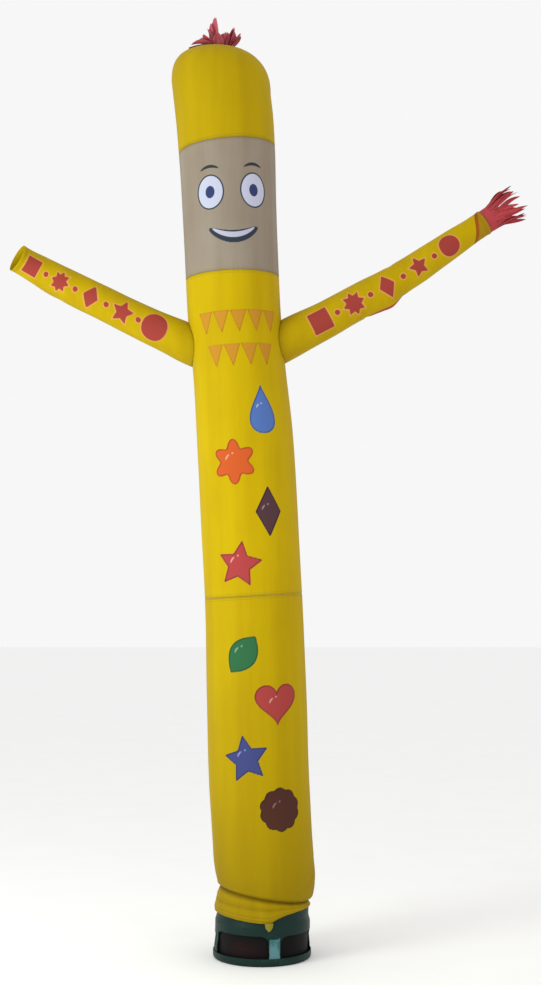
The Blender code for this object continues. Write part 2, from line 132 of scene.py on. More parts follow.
# %% From a grid to a mesh
def grid_mesh(name, points, across, along, closed=True, flip=False, from_end=None):
    """A mesh from points[row, column]. Across and along are the UV map's metres at the corners,
    with one more column than the points where the grid closes on itself. From_end is the distance
    to the nearest sewn end, for a second map that places the stitches."""
    rows, columns = points.shape[:2]
    spans = columns if closed else columns - 1
    row, column = np.meshgrid(np.arange(rows - 1), np.arange(spans), indexing="ij")
    following = (column + 1) % columns
    corners = [(row, column, column), (row, following, column + 1),
               (row + 1, following, column + 1), (row + 1, column, column)]
    if flip:
        corners = corners[::-1]
    quads = np.stack([r * columns + c for r, c, _ in corners], -1).reshape(-1, 4)
    mesh = bpy.data.meshes.new(name)
    mesh.from_pydata(points.reshape(-1, 3).tolist(), [], quads.tolist())
    for layer, up in (("cloth", along), ("stitches", from_end)):
        if up is not None:
            uv = np.stack([np.stack([across[r, k], up[r, k]], -1) for r, _, k in corners], -2)
            mesh.uv_layers.new(name=layer).data.foreach_set("uv", uv.reshape(-1).astype(np.float32))
    mesh.shade_smooth()
    return mesh


def columns_round(fine, coarse, turn=0.0, reach=math.radians(78)):
    """Angles round a tube, close together within reach of the printed side, wide apart behind."""
    front = np.arange(-reach, reach, fine)
    back = np.linspace(reach, 2 * math.pi - reach, max(3, int((2 * math.pi - 2 * reach) / coarse)),
                       endpoint=False)
    return np.concatenate([front, back]) + turn


def with_end(angles):
    """The same angles with the first one again, a full turn on."""
    return np.append(angles, angles[0] + 2 * math.pi)


def unrolled(radius, around, along):
    """A tube's cloth laid flat: metres round it, with the first column again, and along it."""
    across = radius * with_end(around)
    return across + 0 * along, along + 0 * across


def round_axis(radius, around, height):
    """Points round the Z axis: the radius towards each angle from the front, at the height."""
    return np.stack([radius * np.sin(around), -radius * np.cos(around), height + 0 * around], -1)


def set_soil_and_shading(mesh, values):
    """Stores on each vertex how much darker it is drawn, from 0 to 1: soil, and painted shade where a
    piece says so.
    """
    mesh.attributes.new("soil_and_shading", "FLOAT", "POINT").data.foreach_set(
        "value", np.ascontiguousarray(values, np.float32).ravel())


def finish_piece(name, mesh, material, replaced, thickness=CLOTH):
    """Adds a piece, gives its skin a thickness inwards, and hides the imported parts it replaces."""
    mesh.materials.append(material)
    piece = bpy.data.objects.new(name, mesh)
    bpy.context.scene.collection.objects.link(piece)
    if thickness:
        wall = piece.modifiers.new("thickness", "SOLIDIFY")
        wall.thickness, wall.offset, wall.use_even_offset = thickness, -1.0, False
    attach(piece, "root")
    if replaced:
        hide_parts(*replaced)
    print(f"{name}: {len(mesh.polygons)} quads")
    return piece


# %% [markdown]
# Cloth under air isn't perfectly smooth. It puckers at each seam, where the thread draws it in,
# and it billows a little in between. Both are small moves in or out along the radius. They are
# sums of sines and bell curves, so that they are the same each time the script runs.

# %% Relief of blown cloth
def billow(around, height, size=0.0012):
    """Slow waves over the cloth: sines round the tube whose phase drifts with the height."""
    return size * (np.sin(3 * around + 2.1 * height + 0.7) * np.sin(4.3 * height + 1.1)
                   + 0.6 * np.sin(5 * around - 3.7 * height) * np.sin(9.1 * height + 0.4))


def pucker(around, distance, size=0.0014, reach=0.030, count=58):
    """A sewn seam: a narrow groove with small folds across it, which die away within reach."""
    folds = np.sin(count * around + 1.7 * np.sin(9 * around)) * (0.6 + 0.4 * np.sin(7 * around + 1))
    return -size * bump(distance, 0, 0.004) + 0.55 * size * folds * np.exp(-abs(distance) / reach)


def body_grid(heights, around, relief):
    """Points of the body tube: for each height the section's centre, plus its radius and the
    relief at each angle, with the section's plane tilted."""
    sections = smooth_rows(BODY, BODY[:, 0], heights)[:, :, None]
    radius = sections[:, 2] + relief
    across = radius * np.sin(around)
    return np.stack([sections[:, 1] + across, -radius * np.cos(around),
                     sections[:, 0] + sections[:, 3] * across], -1)


# %% [markdown]
# A print is made of plain shapes. Each vertex stores how far it is from the edge of the nearest
# shape, negative inside, and the material cuts the ink at zero. The edge then stays sharp between
# the vertices, which a colour stored on each vertex wouldn't give.

# %% Shapes for the prints
def edge_distance(u, v, outline):
    """Metres from each point to a closed outline: the distance to its nearest side, negative where
    a line drawn from the point crosses the sides an odd number of times."""
    nearest, inside = np.full(u.shape, np.inf), np.zeros(u.shape, bool)
    for (x0, y0), (x1, y1) in zip(outline, np.roll(outline, -1, axis=0)):
        side_x, side_y = x1 - x0, y1 - y0
        t = np.clip(((u - x0) * side_x + (v - y0) * side_y) / (side_x**2 + side_y**2), 0, 1)
        nearest = np.minimum(nearest, np.hypot(u - x0 - side_x * t, v - y0 - side_y * t))
        if y0 != y1:
            inside ^= ((y0 > v) != (y1 > v)) & (u < x0 + side_x * (v - y0) / side_y)
    return np.where(inside, -nearest, nearest)


def round_shape(radius_at, count=64):
    """An outline in polar form: radius_at gives the radius for each angle from the right."""
    turn = 2 * math.pi * np.arange(count) / count
    return np.stack([radius_at(turn) * np.cos(turn), radius_at(turn) * np.sin(turn)], -1)


def star(points, inner, start=90.0, short=1.0):
    """A star of radius 1 with its notches at the inner radius, and every other point short."""
    corner = np.arange(2 * points)
    turn = np.radians(start + 180.0 / points * corner)
    radius = np.where(corner % 2, inner, np.where(corner % 4, short, 1.0))
    return np.stack([radius * np.cos(turn), radius * np.sin(turn)], -1)


def heart():
    """A heart from sines: 16 sin^3 across, and four cosines up."""
    t = 2 * math.pi * np.arange(48) / 48
    up = 13 * np.cos(t) - 5 * np.cos(2 * t) - 2 * np.cos(3 * t) - np.cos(4 * t)
    return np.stack([np.sin(t) ** 3, (up + 2.5) / 15], -1)


def drop():
    """A drop: a circle whose width shrinks to a point at its top."""
    t = 2 * math.pi * np.arange(48) / 48
    return np.stack([1.25 * np.sin(t) * np.sin(t / 2) ** 1.6, np.cos(t)], -1)


def leaf():
    """A leaf: two arcs that meet in points above and below."""
    v = np.linspace(-1, 1, 24)
    side = 0.62 * (1 - v**2)
    return np.concatenate([np.stack([side, v], -1), np.stack([-side, v], -1)[-2:0:-1]])


SHAPES = {
    "disc": round_shape(lambda a: 1.0 + 0 * a, 40),
    "heart": heart(),
    "diamond": np.array([(0, 1), (0.72, 0), (0, -1), (-0.72, 0)], float),
    "scalloped": round_shape(lambda a: 0.90 + 0.10 * abs(np.sin(5 * a)), 100),
    "flower": round_shape(lambda a: 0.82 + 0.18 * np.cos(6 * (a - math.pi / 2)), 72),
    "drop": drop(),
    "leaf": leaf(),
    "star": star(5, 0.50),
    "burst": star(8, 0.62),
    "square": np.array([(-0.8, -0.8), (0.8, -0.8), (0.8, 0.8), (-0.8, 0.8)], float),
    "triangle": np.array([(-0.95, -0.8), (0.95, -0.8), (0.0, 0.9)], float),
}
FAR = 1.0  # distance stored where there is no print


def linear(code, alpha=1.0):
    """An sRGB hex colour as linear numbers: below 0.04045 a twelfth, above it a power of 2.4."""
    value = np.array([int(code[i:i + 2], 16) for i in (1, 3, 5)]) / 255
    return (*np.where(value <= 0.04045, value / 12.92, ((value + 0.055) / 1.055) ** 2.4), alpha)


class Print:
    """Three layers of ink over a grid of cloth, each an edge distance and the colours near it:
    the motifs, their rims, and the details on top."""

    def __init__(self, across, up):
        self.across, self.up = across, up
        self.edge = {layer: np.full(across.shape, FAR) for layer in ("motif", "rim", "detail")}
        self.ink = {layer: np.zeros((*across.shape, 4)) for layer in ("motif", "rim", "detail")}

    def add(self, layer, outline, middle, size, ink, rim=None, turn=0.0, rim_width=0.0042,
            over=False):
        """Prints an outline at its middle, scaled by size across and up, and turned. Its rim is
        what lies within half a rim's width of its edge."""
        c, s = math.cos(math.radians(turn)), math.sin(math.radians(turn))
        shape = np.asarray(outline) * size @ np.array([[c, s], [-s, c]]) + middle
        reach = np.abs(shape - middle).max() + 0.05
        near = np.hypot(self.across - middle[0], self.up - middle[1]) < 1.5 * reach
        distance = np.full(self.across.shape, FAR)
        distance[near] = edge_distance(self.across[near], self.up[near], shape)
        closer = distance < (0.001 if over else self.edge[layer])
        self.edge[layer][closer] = distance[closer]
        self.ink[layer][closer] = linear(ink)
        if layer == "motif" and rim:
            self.edge["rim"][closer] = abs(distance[closer]) - rim_width / 2
            self.ink["rim"][closer] = linear(rim)

    def store(self, mesh, soil_and_shading):
        """Puts the three distances, the inks, and the soil and painted shade into the mesh as
        attributes.
        """
        set_soil_and_shading(mesh, soil_and_shading + 0 * self.across)
        for layer, values in self.edge.items():
            mesh.attributes.new(f"{layer}_edge", "FLOAT", "POINT").data.foreach_set(
                "value", values.astype(np.float32).ravel())
        for layer, values in self.ink.items():
            mesh.attributes.new(f"{layer}_ink", "FLOAT_COLOR", "POINT").data.foreach_set(
                "color", values.astype(np.float32).ravel())


print("shapes:", ", ".join(SHAPES))

# %% [markdown]
# Ripstop nylon is a thin plain weave with a thicker thread every few millimetres. It is dyed and
# hardly shines: a rough, slightly satin surface. Its dye varies a little. In places each piece is
# drawn darker towards a soiled colour: partly dirt and seam lines, partly painted shade in the
# crease, in the folds and towards the ground. The ripstop squares are 6 mm, drawn a little wider
# than the real 5 mm ones so that they still show from close by.

# %% Materials of the cloth
MIX_A, MIX_B, MIX_OUT = 6, 7, 2  # sockets of a Mix node that is set to colour
RIPSTOP = 0.006
THREAD = 0.0011
INK_BLUR = 0.0009
STITCH, STITCH_WIDTH, STITCH_MIDDLE, STITCH_APART = 0.006, 0.0010, 0.009, 0.007
THREAD_COLOUR = "#8a7a20"


def add(tree, kind, inputs=(), **settings):
    """Adds a node with its settings, and gives each named socket a value or a link."""
    node = tree.nodes.new(kind)
    for name, value in settings.items():
        setattr(node, name, value)
    for name, value in dict(inputs).items():
        if isinstance(value, bpy.types.NodeSocket):
            tree.links.new(value, node.inputs[name])
        else:
            node.inputs[name].default_value = value
    return node


def new_material(name, **shader_values):
    """A material with a Principled shader, whose uniform values sit on the shader itself."""
    made = bpy.data.materials.new(name)
    made.use_nodes = True
    shader = made.node_tree.nodes["Principled BSDF"]
    for socket, value in shader_values.items():
        shader.inputs[socket.replace("_", " ")].default_value = value
    return made, made.node_tree, shader


def threads(tree, pitch, width):
    """Height of the thick threads: near 1 where the UV map's place in its square is by an edge."""
    uv = add(tree, "ShaderNodeUVMap", uv_map="cloth").outputs[0]
    cells = add(tree, "ShaderNodeVectorMath", {0: uv, 3: 1 / pitch}, operation="SCALE").outputs[0]
    place = add(tree, "ShaderNodeSeparateXYZ",
                {0: add(tree, "ShaderNodeVectorMath", {0: cells}, operation="FRACTION").outputs[0]})
    lines = [add(tree, "ShaderNodeMath", {0: add(tree, "ShaderNodeMath",
                 {0: place.outputs[axis], 1: 0.5}, operation="SUBTRACT").outputs[0]},
                 operation="ABSOLUTE").outputs[0] for axis in (0, 1)]
    nearest = add(tree, "ShaderNodeMath", {0: lines[0], 1: lines[1]}, operation="MAXIMUM").outputs[0]
    edge = 0.5 - width / pitch / 2
    return add(tree, "ShaderNodeMapRange", {"Value": nearest, "From Min": edge - 0.06,
                                            "From Max": edge}).outputs[0]


def nylon(name, light, dark, soiled_and_shaded, printed=True, roughness=0.62):
    """Dyed ripstop nylon: two close tones mottled by noise, soil and painted shade, the threads and the
    prints.
    """
    made, tree, shader = new_material(name, Roughness=roughness, IOR=1.53,
                                      Sheen_Weight=0.01, Sheen_Roughness=0.45)
    shader.inputs["Specular IOR Level"].default_value = 0.06
    place = add(tree, "ShaderNodeTexCoord").outputs["Object"]
    mottle = add(tree, "ShaderNodeTexNoise", {"Vector": place, "Scale": 2.6, "Detail": 4.0}).outputs[0]
    streak = add(tree, "ShaderNodeTexNoise", {
        "Vector": add(tree, "ShaderNodeMapping", {0: place, "Scale": (16.0, 16.0, 1.1)}).outputs[0],
        "Scale": 1.0, "Detail": 3.0}).outputs[0]
    tone = add(tree, "ShaderNodeMath", {0: mottle, 1: streak}, operation="ADD").outputs[0]
    tone = add(tree, "ShaderNodeMapRange", {"Value": tone, "From Min": 0.7, "From Max": 1.3}).outputs[0]
    colour = add(tree, "ShaderNodeMix", {0: tone, MIX_A: linear(dark), MIX_B: linear(light)},
                 data_type="RGBA").outputs[MIX_OUT]
    thread = None
    if printed:
        colour = inked(tree, colour)
        thread = stitches(tree)
        colour = add(tree, "ShaderNodeMix", {0: thread, MIX_A: colour, MIX_B: linear(THREAD_COLOUR)},
                     data_type="RGBA").outputs[MIX_OUT]
    # The soil attribute darkens towards the soiled colour: partly dirt, partly painted shade in creases,
    # folds and towards the ground.
    soil_and_shading = add(tree, "ShaderNodeAttribute", attribute_name="soil_and_shading").outputs["Fac"]
    dirt_and_shading = add(tree, "ShaderNodeMath", {0: soil_and_shading, 1: add(tree, "ShaderNodeMapRange", {
        "Value": mottle, "To Min": 0.75, "To Max": 1.15}).outputs[0]}, operation="MULTIPLY").outputs[0]
    colour = add(tree, "ShaderNodeMix", {0: dirt_and_shading, MIX_A: colour, MIX_B: linear(soiled_and_shaded)},
                 data_type="RGBA").outputs[MIX_OUT]
    tree.links.new(colour, shader.inputs["Base Color"])
    weave = threads(tree, RIPSTOP, THREAD)
    worn = add(tree, "ShaderNodeMapRange", {"Value": mottle, "To Min": roughness - 0.07,
                                            "To Max": roughness + 0.09}).outputs[0]
    rough = add(tree, "ShaderNodeMath", {0: weave, 1: 0.06, 2: worn}, operation="MULTIPLY_ADD")
    tree.links.new(rough.outputs[0], shader.inputs["Roughness"])
    relief = add(tree, "ShaderNodeBump", {"Height": weave, "Strength": 0.25, "Distance": 0.0006})
    tree.links.new(relief.outputs[0], shader.inputs["Normal"])
    return made


def stitches(tree):
    """Two rows of dashes along each sewn end: how near the place is to either row, times whether
    it is in the sewn part of its stitch. Ten stitches to 60 mm, drawn twice their real width."""
    uv = add(tree, "ShaderNodeUVMap", uv_map="stitches").outputs[0]
    place = add(tree, "ShaderNodeSeparateXYZ", {0: uv}).outputs
    off = place[1]
    for row in (STITCH_MIDDLE, STITCH_APART / 2):
        off = add(tree, "ShaderNodeMath", {0: off, 1: row}, operation="SUBTRACT").outputs[0]
        off = add(tree, "ShaderNodeMath", {0: off}, operation="ABSOLUTE").outputs[0]
    near = add(tree, "ShaderNodeMapRange", {"Value": off, "From Min": STITCH_WIDTH,
                                            "From Max": 0.6 * STITCH_WIDTH}).outputs[0]
    share = add(tree, "ShaderNodeMath", {0: place[0], 1: 1 / STITCH}, operation="MULTIPLY").outputs[0]
    share = add(tree, "ShaderNodeMath", {0: share}, operation="FRACT").outputs[0]
    sewn = add(tree, "ShaderNodeMath", {0: share, 1: 0.7}, operation="LESS_THAN").outputs[0]
    return add(tree, "ShaderNodeMath", {0: near, 1: sewn}, operation="MULTIPLY").outputs[0]


def inked(tree, colour):
    """Lays the motifs, their rims and the details over the cloth, cut where each distance is 0."""
    for layer in ("motif", "rim", "detail"):
        edge = add(tree, "ShaderNodeAttribute", attribute_name=f"{layer}_edge").outputs["Fac"]
        cover = add(tree, "ShaderNodeMapRange", {"Value": edge, "From Min": INK_BLUR,
                                                 "From Max": -INK_BLUR}).outputs[0]
        tint = add(tree, "ShaderNodeAttribute", attribute_name=f"{layer}_ink").outputs["Color"]
        colour = add(tree, "ShaderNodeMix", {0: cover, MIX_A: colour, MIX_B: tint},
                     data_type="RGBA").outputs[MIX_OUT]
    return colour


# The third colour is what soil and painted shade darken the yellow towards.
YELLOW, YELLOW_DARK, YELLOW_SOILED_AND_SHADED = "#bfa301", "#b29401", "#523d02"
yellow_nylon = nylon("dyed yellow ripstop nylon", YELLOW, YELLOW_DARK, YELLOW_SOILED_AND_SHADED)
beige_nylon = nylon("dyed beige ripstop nylon", "#94897c", "#877a6a", "#4a4034")
red_nylon = nylon("dyed red ripstop nylon", "#c04a50", "#9c3a41", "#571a1f", printed=False)
faded_nylon = nylon("sun-faded red ripstop nylon", "#cf6f7a", "#b04f59", "#74262e", printed=False)
print("cloth materials:", yellow_nylon.name, "|", beige_nylon.name, "|", red_nylon.name)

# %% [markdown]
# The lowest length of tube carries most of the shaping: it buckles over the blower in one sharp
# crease, its belly hangs over that crease, and the cuff below it lies in soft folds and droops to
# a point where its strap hangs.

# %% Lower body
BODY_RADIUS = 0.219
PRINT_TURN = math.radians(5.0)  # the printed line is turned a little to the right
FINE, COARSE = 0.0055, 0.020    # metres between columns in front and behind
ROW = 0.006
HEM_POINT, HEM_DROOP = math.radians(10.0), 0.036
HEM_FADE_LEFT, HEM_FADE_RIGHT = math.radians(52.0), math.radians(13.5)
CREASE, CUFF_FOLD = 0.2785, 0.2520


def turned_from(around, middle):
    """Angle from middle, between minus and plus half a turn."""
    return (around - middle + math.pi) % (2 * math.pi) - math.pi


def hem_drop(around, heights):
    """How far the cuff droops: to a point at the hem, rounded off to the left by a power of 1.7 and
    sharp to the right, dying away up to the crease."""
    apart = turned_from(around, HEM_POINT)
    left = np.exp(-((abs(apart) / HEM_FADE_LEFT) ** 1.7))
    drop_here = HEM_DROOP * np.where(apart < 0, left, np.exp(-abs(apart) / HEM_FADE_RIGHT))
    return drop_here * np.clip((0.256 - heights) / (0.256 - HEM), 0, 1)


def cuff_relief(around, height):
    """The crease, the overhang above it, and the rolls and folds of the cuff below."""
    left = bump(turned_from(around, math.radians(-48)), 0, math.radians(48))
    front = bump(turned_from(around, math.radians(-15)), 0, math.radians(62))
    right = bump(turned_from(around, math.radians(58)), 0, math.radians(24))
    side = bump(turned_from(around, math.radians(-88)), 0, math.radians(34))
    slope = height + 0.012 * turned_from(around, 0.0)
    return (-0.0075 * bump(height, CREASE, 0.0055) + 0.0045 * bump(height, CREASE + 0.014, 0.0095)
            + 0.0030 * front * bump(height, 0.262, 0.007)
            - 0.0058 * left * bump(slope, CUFF_FOLD - 0.004, 0.0042)
            + 0.0046 * left * bump(slope, CUFF_FOLD - 0.019, 0.0095)
            - 0.0046 * side * bump(height, 0.252, 0.011) + 0.0042 * side * bump(height, 0.228, 0.009)
            - 0.0018 * front * bump(slope, CUFF_FOLD + 0.011, 0.0030)
            - 0.0050 * right * bump(height - 0.16 * (around - 1.0), 0.338, 0.012)
            + 0.0016 * np.sin(21 * around + 30 * height) * bump(height, 0.246, 0.030))


def body_length(name, bottom, top, row, fine, relief_at, soil_and_shading_at, decorate, material, replaced):
    """One length of the body tube, from seam to seam, with its print."""
    heights = np.linspace(bottom, top, max(8, int((top - bottom) / row)))[:, None]
    around = columns_round(fine / BODY_RADIUS, COARSE / BODY_RADIUS, PRINT_TURN)
    relief = relief_at(around, heights)
    points = body_grid(heights[:, 0], around, relief)
    if bottom == HEM:
        points[..., 2] -= hem_drop(around, heights)
    radius = smooth_rows(BODY, BODY[:, 0], heights[:, 0])[:, 2:3]
    across = radius * turned_from(around, PRINT_TURN)
    ink = Print(across, heights + 0 * around)
    decorate(ink)
    from_end = np.minimum(heights - bottom, top - heights)
    mesh = grid_mesh(name, points, *unrolled(BODY_RADIUS, around, heights),
                     from_end=unrolled(BODY_RADIUS, around, from_end)[1])
    ink.store(mesh, np.clip(soil_and_shading_at(around, heights), 0, 1))
    piece = finish_piece(name, mesh, material, replaced)


Motif = namedtuple("Motif", "shape height across width tall turn ink rim shine")
STAGGER = 0.072
LOWER_MOTIFS = (
    Motif("leaf", 1.335, -STAGGER, 0.098, 0.092, -38, "#296843", "#205235", "#78a28a"),
    Motif("heart", 1.110, STAGGER, 0.096, 0.088, 0, "#a73f40", "#863334", "#c99291"),
    Motif("star", 0.885, -STAGGER, 0.100, 0.100, 8, "#384785", "#2a3669", "#858fbb"),
    Motif("scalloped", 0.660, STAGGER, 0.092, 0.092, 0, "#47232b", "#351a21", "#8a6971"),
)
UPPER_MOTIFS = (
    Motif("drop", 2.400, STAGGER, 0.068, 0.104, 0, "#506ead", "#3b5589", "#9baaca"),
    Motif("flower", 2.175, -STAGGER, 0.096, 0.098, 0, "#c25627", "#a04523", "#d39b7a"),
    Motif("diamond", 1.950, STAGGER, 0.080, 0.106, 0, "#4f363c", "#3b282d", "#8e787e"),
    Motif("star", 1.725, -STAGGER, 0.100, 0.100, -10, "#a73f40", "#863334", "#c99291"),
)


def shine_arc(radius, thick, low=118.0, high=168.0):
    """A bent stroke: part of a ring, from one angle to another, narrowed at both ends."""
    turn = np.radians(np.linspace(low, high, 14))
    half = thick / 2 * np.sqrt(np.clip(1.03 - np.linspace(-1, 1, 14) ** 2, 0, 1))
    ring = np.stack([np.cos(turn), np.sin(turn)], -1)
    return np.concatenate([(radius + half)[:, None] * ring, ((radius - half)[:, None] * ring)[::-1]])


def print_motifs(ink, motifs):
    """Each motif with its darker rim and a pale shine: a short bent stroke and a dot."""
    for motif in motifs:
        middle = np.array([motif.across, motif.height])
        size = np.array([motif.width, motif.tall])
        ink.add("motif", SHAPES[motif.shape], middle, size, motif.ink, motif.rim, motif.turn,
                rim_width=0.007)
        reach = 0.40 * size.min()
        ink.add("detail", shine_arc(reach, 0.0075), middle, (1, 1), motif.shine)
        ink.add("detail", SHAPES["disc"], middle + (-0.10 * reach, 0.98 * reach), (0.0048, 0.0048),
                motif.shine)


body_length(
    "lower_body_cloth", HEM, CHEST_SEAM, ROW, FINE,
    lambda a, h: billow(a, h) * np.clip((h - 0.40) / 0.3, 0, 1) + cuff_relief(a, h)
    + pucker(a, h - CHEST_SEAM),
    # Painted shade: darker in the crease, in the cuff's fold and towards the ground, a little less just
    # below the crease; the chest seam gets a thin dark line.
    lambda a, h: 0.45 * bump(h, CREASE - 0.001, 0.0075) + 0.60 * np.exp(-(h - HEM) / 0.62)
    - 0.14 * np.clip((CREASE - h) / 0.01, 0, 1)
    + 0.25 * bump(h, CHEST_SEAM, 0.0025) + 0.2 * bump(h, CUFF_FOLD - 0.004, 0.004),
    lambda ink: print_motifs(ink, LOWER_MOTIFS), yellow_nylon, ["lower_body"])

# %% [markdown]
# The next length reaches from the chest seam to the chin. It carries four of the
# staggered motifs and, across the chest, two rows of pennants.

# %% Upper body
PENNANT_ROWS = ((2.800, 5), (2.650, 4))  # height and number of each row
PENNANT_STEP, PENNANT_SIZE = 0.078, (0.037, 0.056)


def print_upper(ink):
    """The motifs, and two rows of pennants: triangles upside down at equal steps from the middle."""
    print_motifs(ink, UPPER_MOTIFS)
    for height, number in PENNANT_ROWS:
        for place in np.arange(number) - (number - 1) / 2:
            ink.add("motif", SHAPES["triangle"], np.array([PENNANT_STEP * place, height]),
                    PENNANT_SIZE, "#b88227", "#a5701c", 180, rim_width=0.005)


body_length(
    "upper_body_cloth", CHEST_SEAM + SEAM_GAP, CHIN_SEAM, ROW, FINE,
    lambda a, h: billow(a, h) + pucker(a, h - CHEST_SEAM) + pucker(a, h - CHIN_SEAM, 0.0008),
    lambda a, h: 0.25 * bump(h, CHEST_SEAM, 0.0025) + 0.12 * bump(h, CHIN_SEAM, 0.004),
    print_upper, yellow_nylon, ["upper_body"])

# %% [markdown]
# The face band is a length of beige nylon with a face of the plainest kind printed on it: two
# round eyes, two brows and one curved mouth.

# %% Face band
FACE_ROW = 0.0042
BAND_TALL = FOREHEAD_SEAM - CHIN_SEAM
PUPIL_UP, MOUTH_UP = CHIN_SEAM + 0.60 * BAND_TALL, CHIN_SEAM + 0.25 * BAND_TALL
PUPIL_ASIDE = 0.17 * BAND_TALL


def arc_band(half_width, rise, thick):
    """A band that bends up at both ends: a parabola with thickness, narrowed at its ends."""
    x = np.linspace(-1, 1, 25)
    middle, half = rise * x**2, thick / 2 * np.sqrt(np.clip(1.02 - x**2, 0, 1))
    return np.concatenate([np.stack([half_width * x, middle - half], -1),
                           np.stack([half_width * x, middle + half], -1)[::-1]])


def print_face(ink):
    """Eyes with a dark rim and a round pupil, short brows, and a smile with one pale band."""
    for side in (-1, 1):
        eye = np.array([side * PUPIL_ASIDE, PUPIL_UP])
        ink.add("motif", SHAPES["disc"], eye, (0.062, 0.076), "#b8bbd0", "#2e363f", rim_width=0.0065)
        ink.add("detail", SHAPES["disc"], eye, (0.022, 0.028), "#333c66")
        ink.add("motif", arc_band(0.046, -0.014, 0.014), eye + (0.0, 0.116), (1, 1), "#34363a")
    mouth = np.array([0.0, MOUTH_UP])
    ink.add("motif", arc_band(0.112, 0.040, 0.052), mouth, (1, 1), "#323743", "#323743")
    ink.add("detail", arc_band(0.098, 0.034, 0.024), mouth + (0, 0.008), (1, 1), "#b0b1c6")


body_length(
    "face_band_cloth", CHIN_SEAM + SEAM_GAP, FOREHEAD_SEAM, FACE_ROW, 0.0045,
    lambda a, h: billow(a, h, 0.0008) + pucker(a, h - CHIN_SEAM, 0.0008)
    + pucker(a, h - FOREHEAD_SEAM, 0.0008),
    lambda a, h: 0.3 * bump(h, CHIN_SEAM, 0.006) + 0.3 * bump(h, FOREHEAD_SEAM, 0.006),
    print_face, beige_nylon, ["face_band"])

# %% [markdown]
# The head's cloth is gathered to a blunt crown round the vent that the hair is sewn into. The dome
# is a superellipse turned about the axis, and its gathers are folds that deepen towards the vent.

# %% Head cap
BLUNTNESS, CROWN_HEIGHT, CROWN_VENT = 2.6, 0.180, 0.040


def dome_grid(around, count):
    """Rows from the shoulder to the vent. The radius goes with a power of a sine, and the rise with
    the same power of its cosine; a larger power makes the dome blunter."""
    _, offset, radius, tilt = BODY[-1]
    vent = math.asin((CROWN_VENT / radius) ** (BLUNTNESS / 2))
    turn = np.linspace(math.pi / 2, vent, count + 1)[1:, None]
    ring = radius * np.sin(turn) ** (2 / BLUNTNESS)
    share = 1 - ring / radius
    gather = 0.0048 * share**0.9 * np.sin(26 * around + 1.3 * np.sin(5 * around))
    ring = ring + billow(around, SHOULDER + 0 * turn) * (1 - share)
    x = ring * np.sin(around)
    rise = CROWN_HEIGHT * np.cos(turn) ** (2 / BLUNTNESS) - abs(gather)
    return np.stack([offset + x, -ring * np.cos(around), SHOULDER + rise + tilt * x * ring / radius], -1)


def head_cap():
    """The straight length up to the shoulder, then the dome, as one grid."""
    around = columns_round(0.008 / BODY_RADIUS, 0.014 / BODY_RADIUS)
    heights = np.linspace(FOREHEAD_SEAM + SEAM_GAP, SHOULDER, 40)[:, None]
    relief = billow(around, heights) + pucker(around, heights - FOREHEAD_SEAM, 0.0008)
    points = np.concatenate([body_grid(heights[:, 0], around, relief), dome_grid(around, 48)])
    run = np.linalg.norm(np.diff(points, axis=0), axis=-1).mean(1)
    along = np.concatenate([[0.0], np.cumsum(run)])[:, None]
    from_end = np.minimum(along, along[-1] - along)
    mesh = grid_mesh("head_cap_cloth", points, *unrolled(BODY_RADIUS, around, along),
                     from_end=unrolled(BODY_RADIUS, around, from_end)[1])
    # A little darker all over, a thin line at the forehead seam, and painted shade up to the vent, under
    # the hair.
    soil_and_shading = (0.18 + 0.2 * bump(along, 0, 0.006) + 0.30 * np.exp(-(along[-1] - along) / 0.02)
            + 0 * around)
    Print(soil_and_shading, soil_and_shading).store(mesh, soil_and_shading)
    piece = finish_piece("head_cap_cloth", mesh, yellow_nylon, ["head_cap"])


head_cap()

# %% [markdown]
# A sleeve is a tube along its own line. Each ring stands square to the line, and the first row
# follows the body's side, because that is where the sleeve is sewn on.

# %% Sleeves
Ring = namedtuple("Ring", "x y z radius slack")
RIGHT_SLEEVE = np.array((
    Ring(0.038, 0.000, 2.709, 0.0925, 0.000),    # inside the body
    Ring(0.110, 0.000, 2.747, 0.0920, 0.000),
    Ring(0.290, 0.000, 2.840, 0.0840, 0.000),
    Ring(0.436, 0.000, 2.920, 0.0810, 0.001),
    Ring(0.505, 0.000, 2.957, 0.0790, 0.012),
    Ring(0.550, 0.000, 2.981, 0.0775, 0.017),
    Ring(0.590, 0.000, 3.004, 0.0763, 0.003),
    Ring(0.728, 0.000, 3.093, 0.0698, 0.000),
    Ring(0.875, 0.000, 3.195, 0.0624, 0.000),
    Ring(0.985, 0.000, 3.269, 0.0567, 0.000),
    Ring(1.013, 0.000, 3.287, 0.0585, 0.000),
))
LEFT_SLEEVE = np.array((
    Ring(-0.262, 0.000, 2.700, 0.0925, 0.000),
    Ring(-0.330, 0.000, 2.728, 0.0915, 0.000),
    Ring(-0.428, 0.000, 2.772, 0.0847, 0.000),
    Ring(-0.647, 0.000, 2.876, 0.0775, 0.000),
    Ring(-0.866, 0.000, 2.985, 0.0752, 0.000),
    Ring(-0.950, -0.006, 3.027, 0.0728, 0.000),
    Ring(-1.020, -0.024, 3.064, 0.0672, 0.000),
    Ring(-1.085, -0.054, 3.098, 0.0632, 0.000),
    Ring(-1.106, -0.066, 3.109, 0.0645, 0.000),
))
SLACK_SHAPE = 1.5
SLEEVE_COLUMNS = 96
SLEEVE_ROW = 0.005


def runs(rows):
    """Length along a sleeve's line at each row of its table."""
    return np.concatenate([[0.0], np.cumsum(np.linalg.norm(np.diff(rows[:, :3], axis=0), axis=1))])


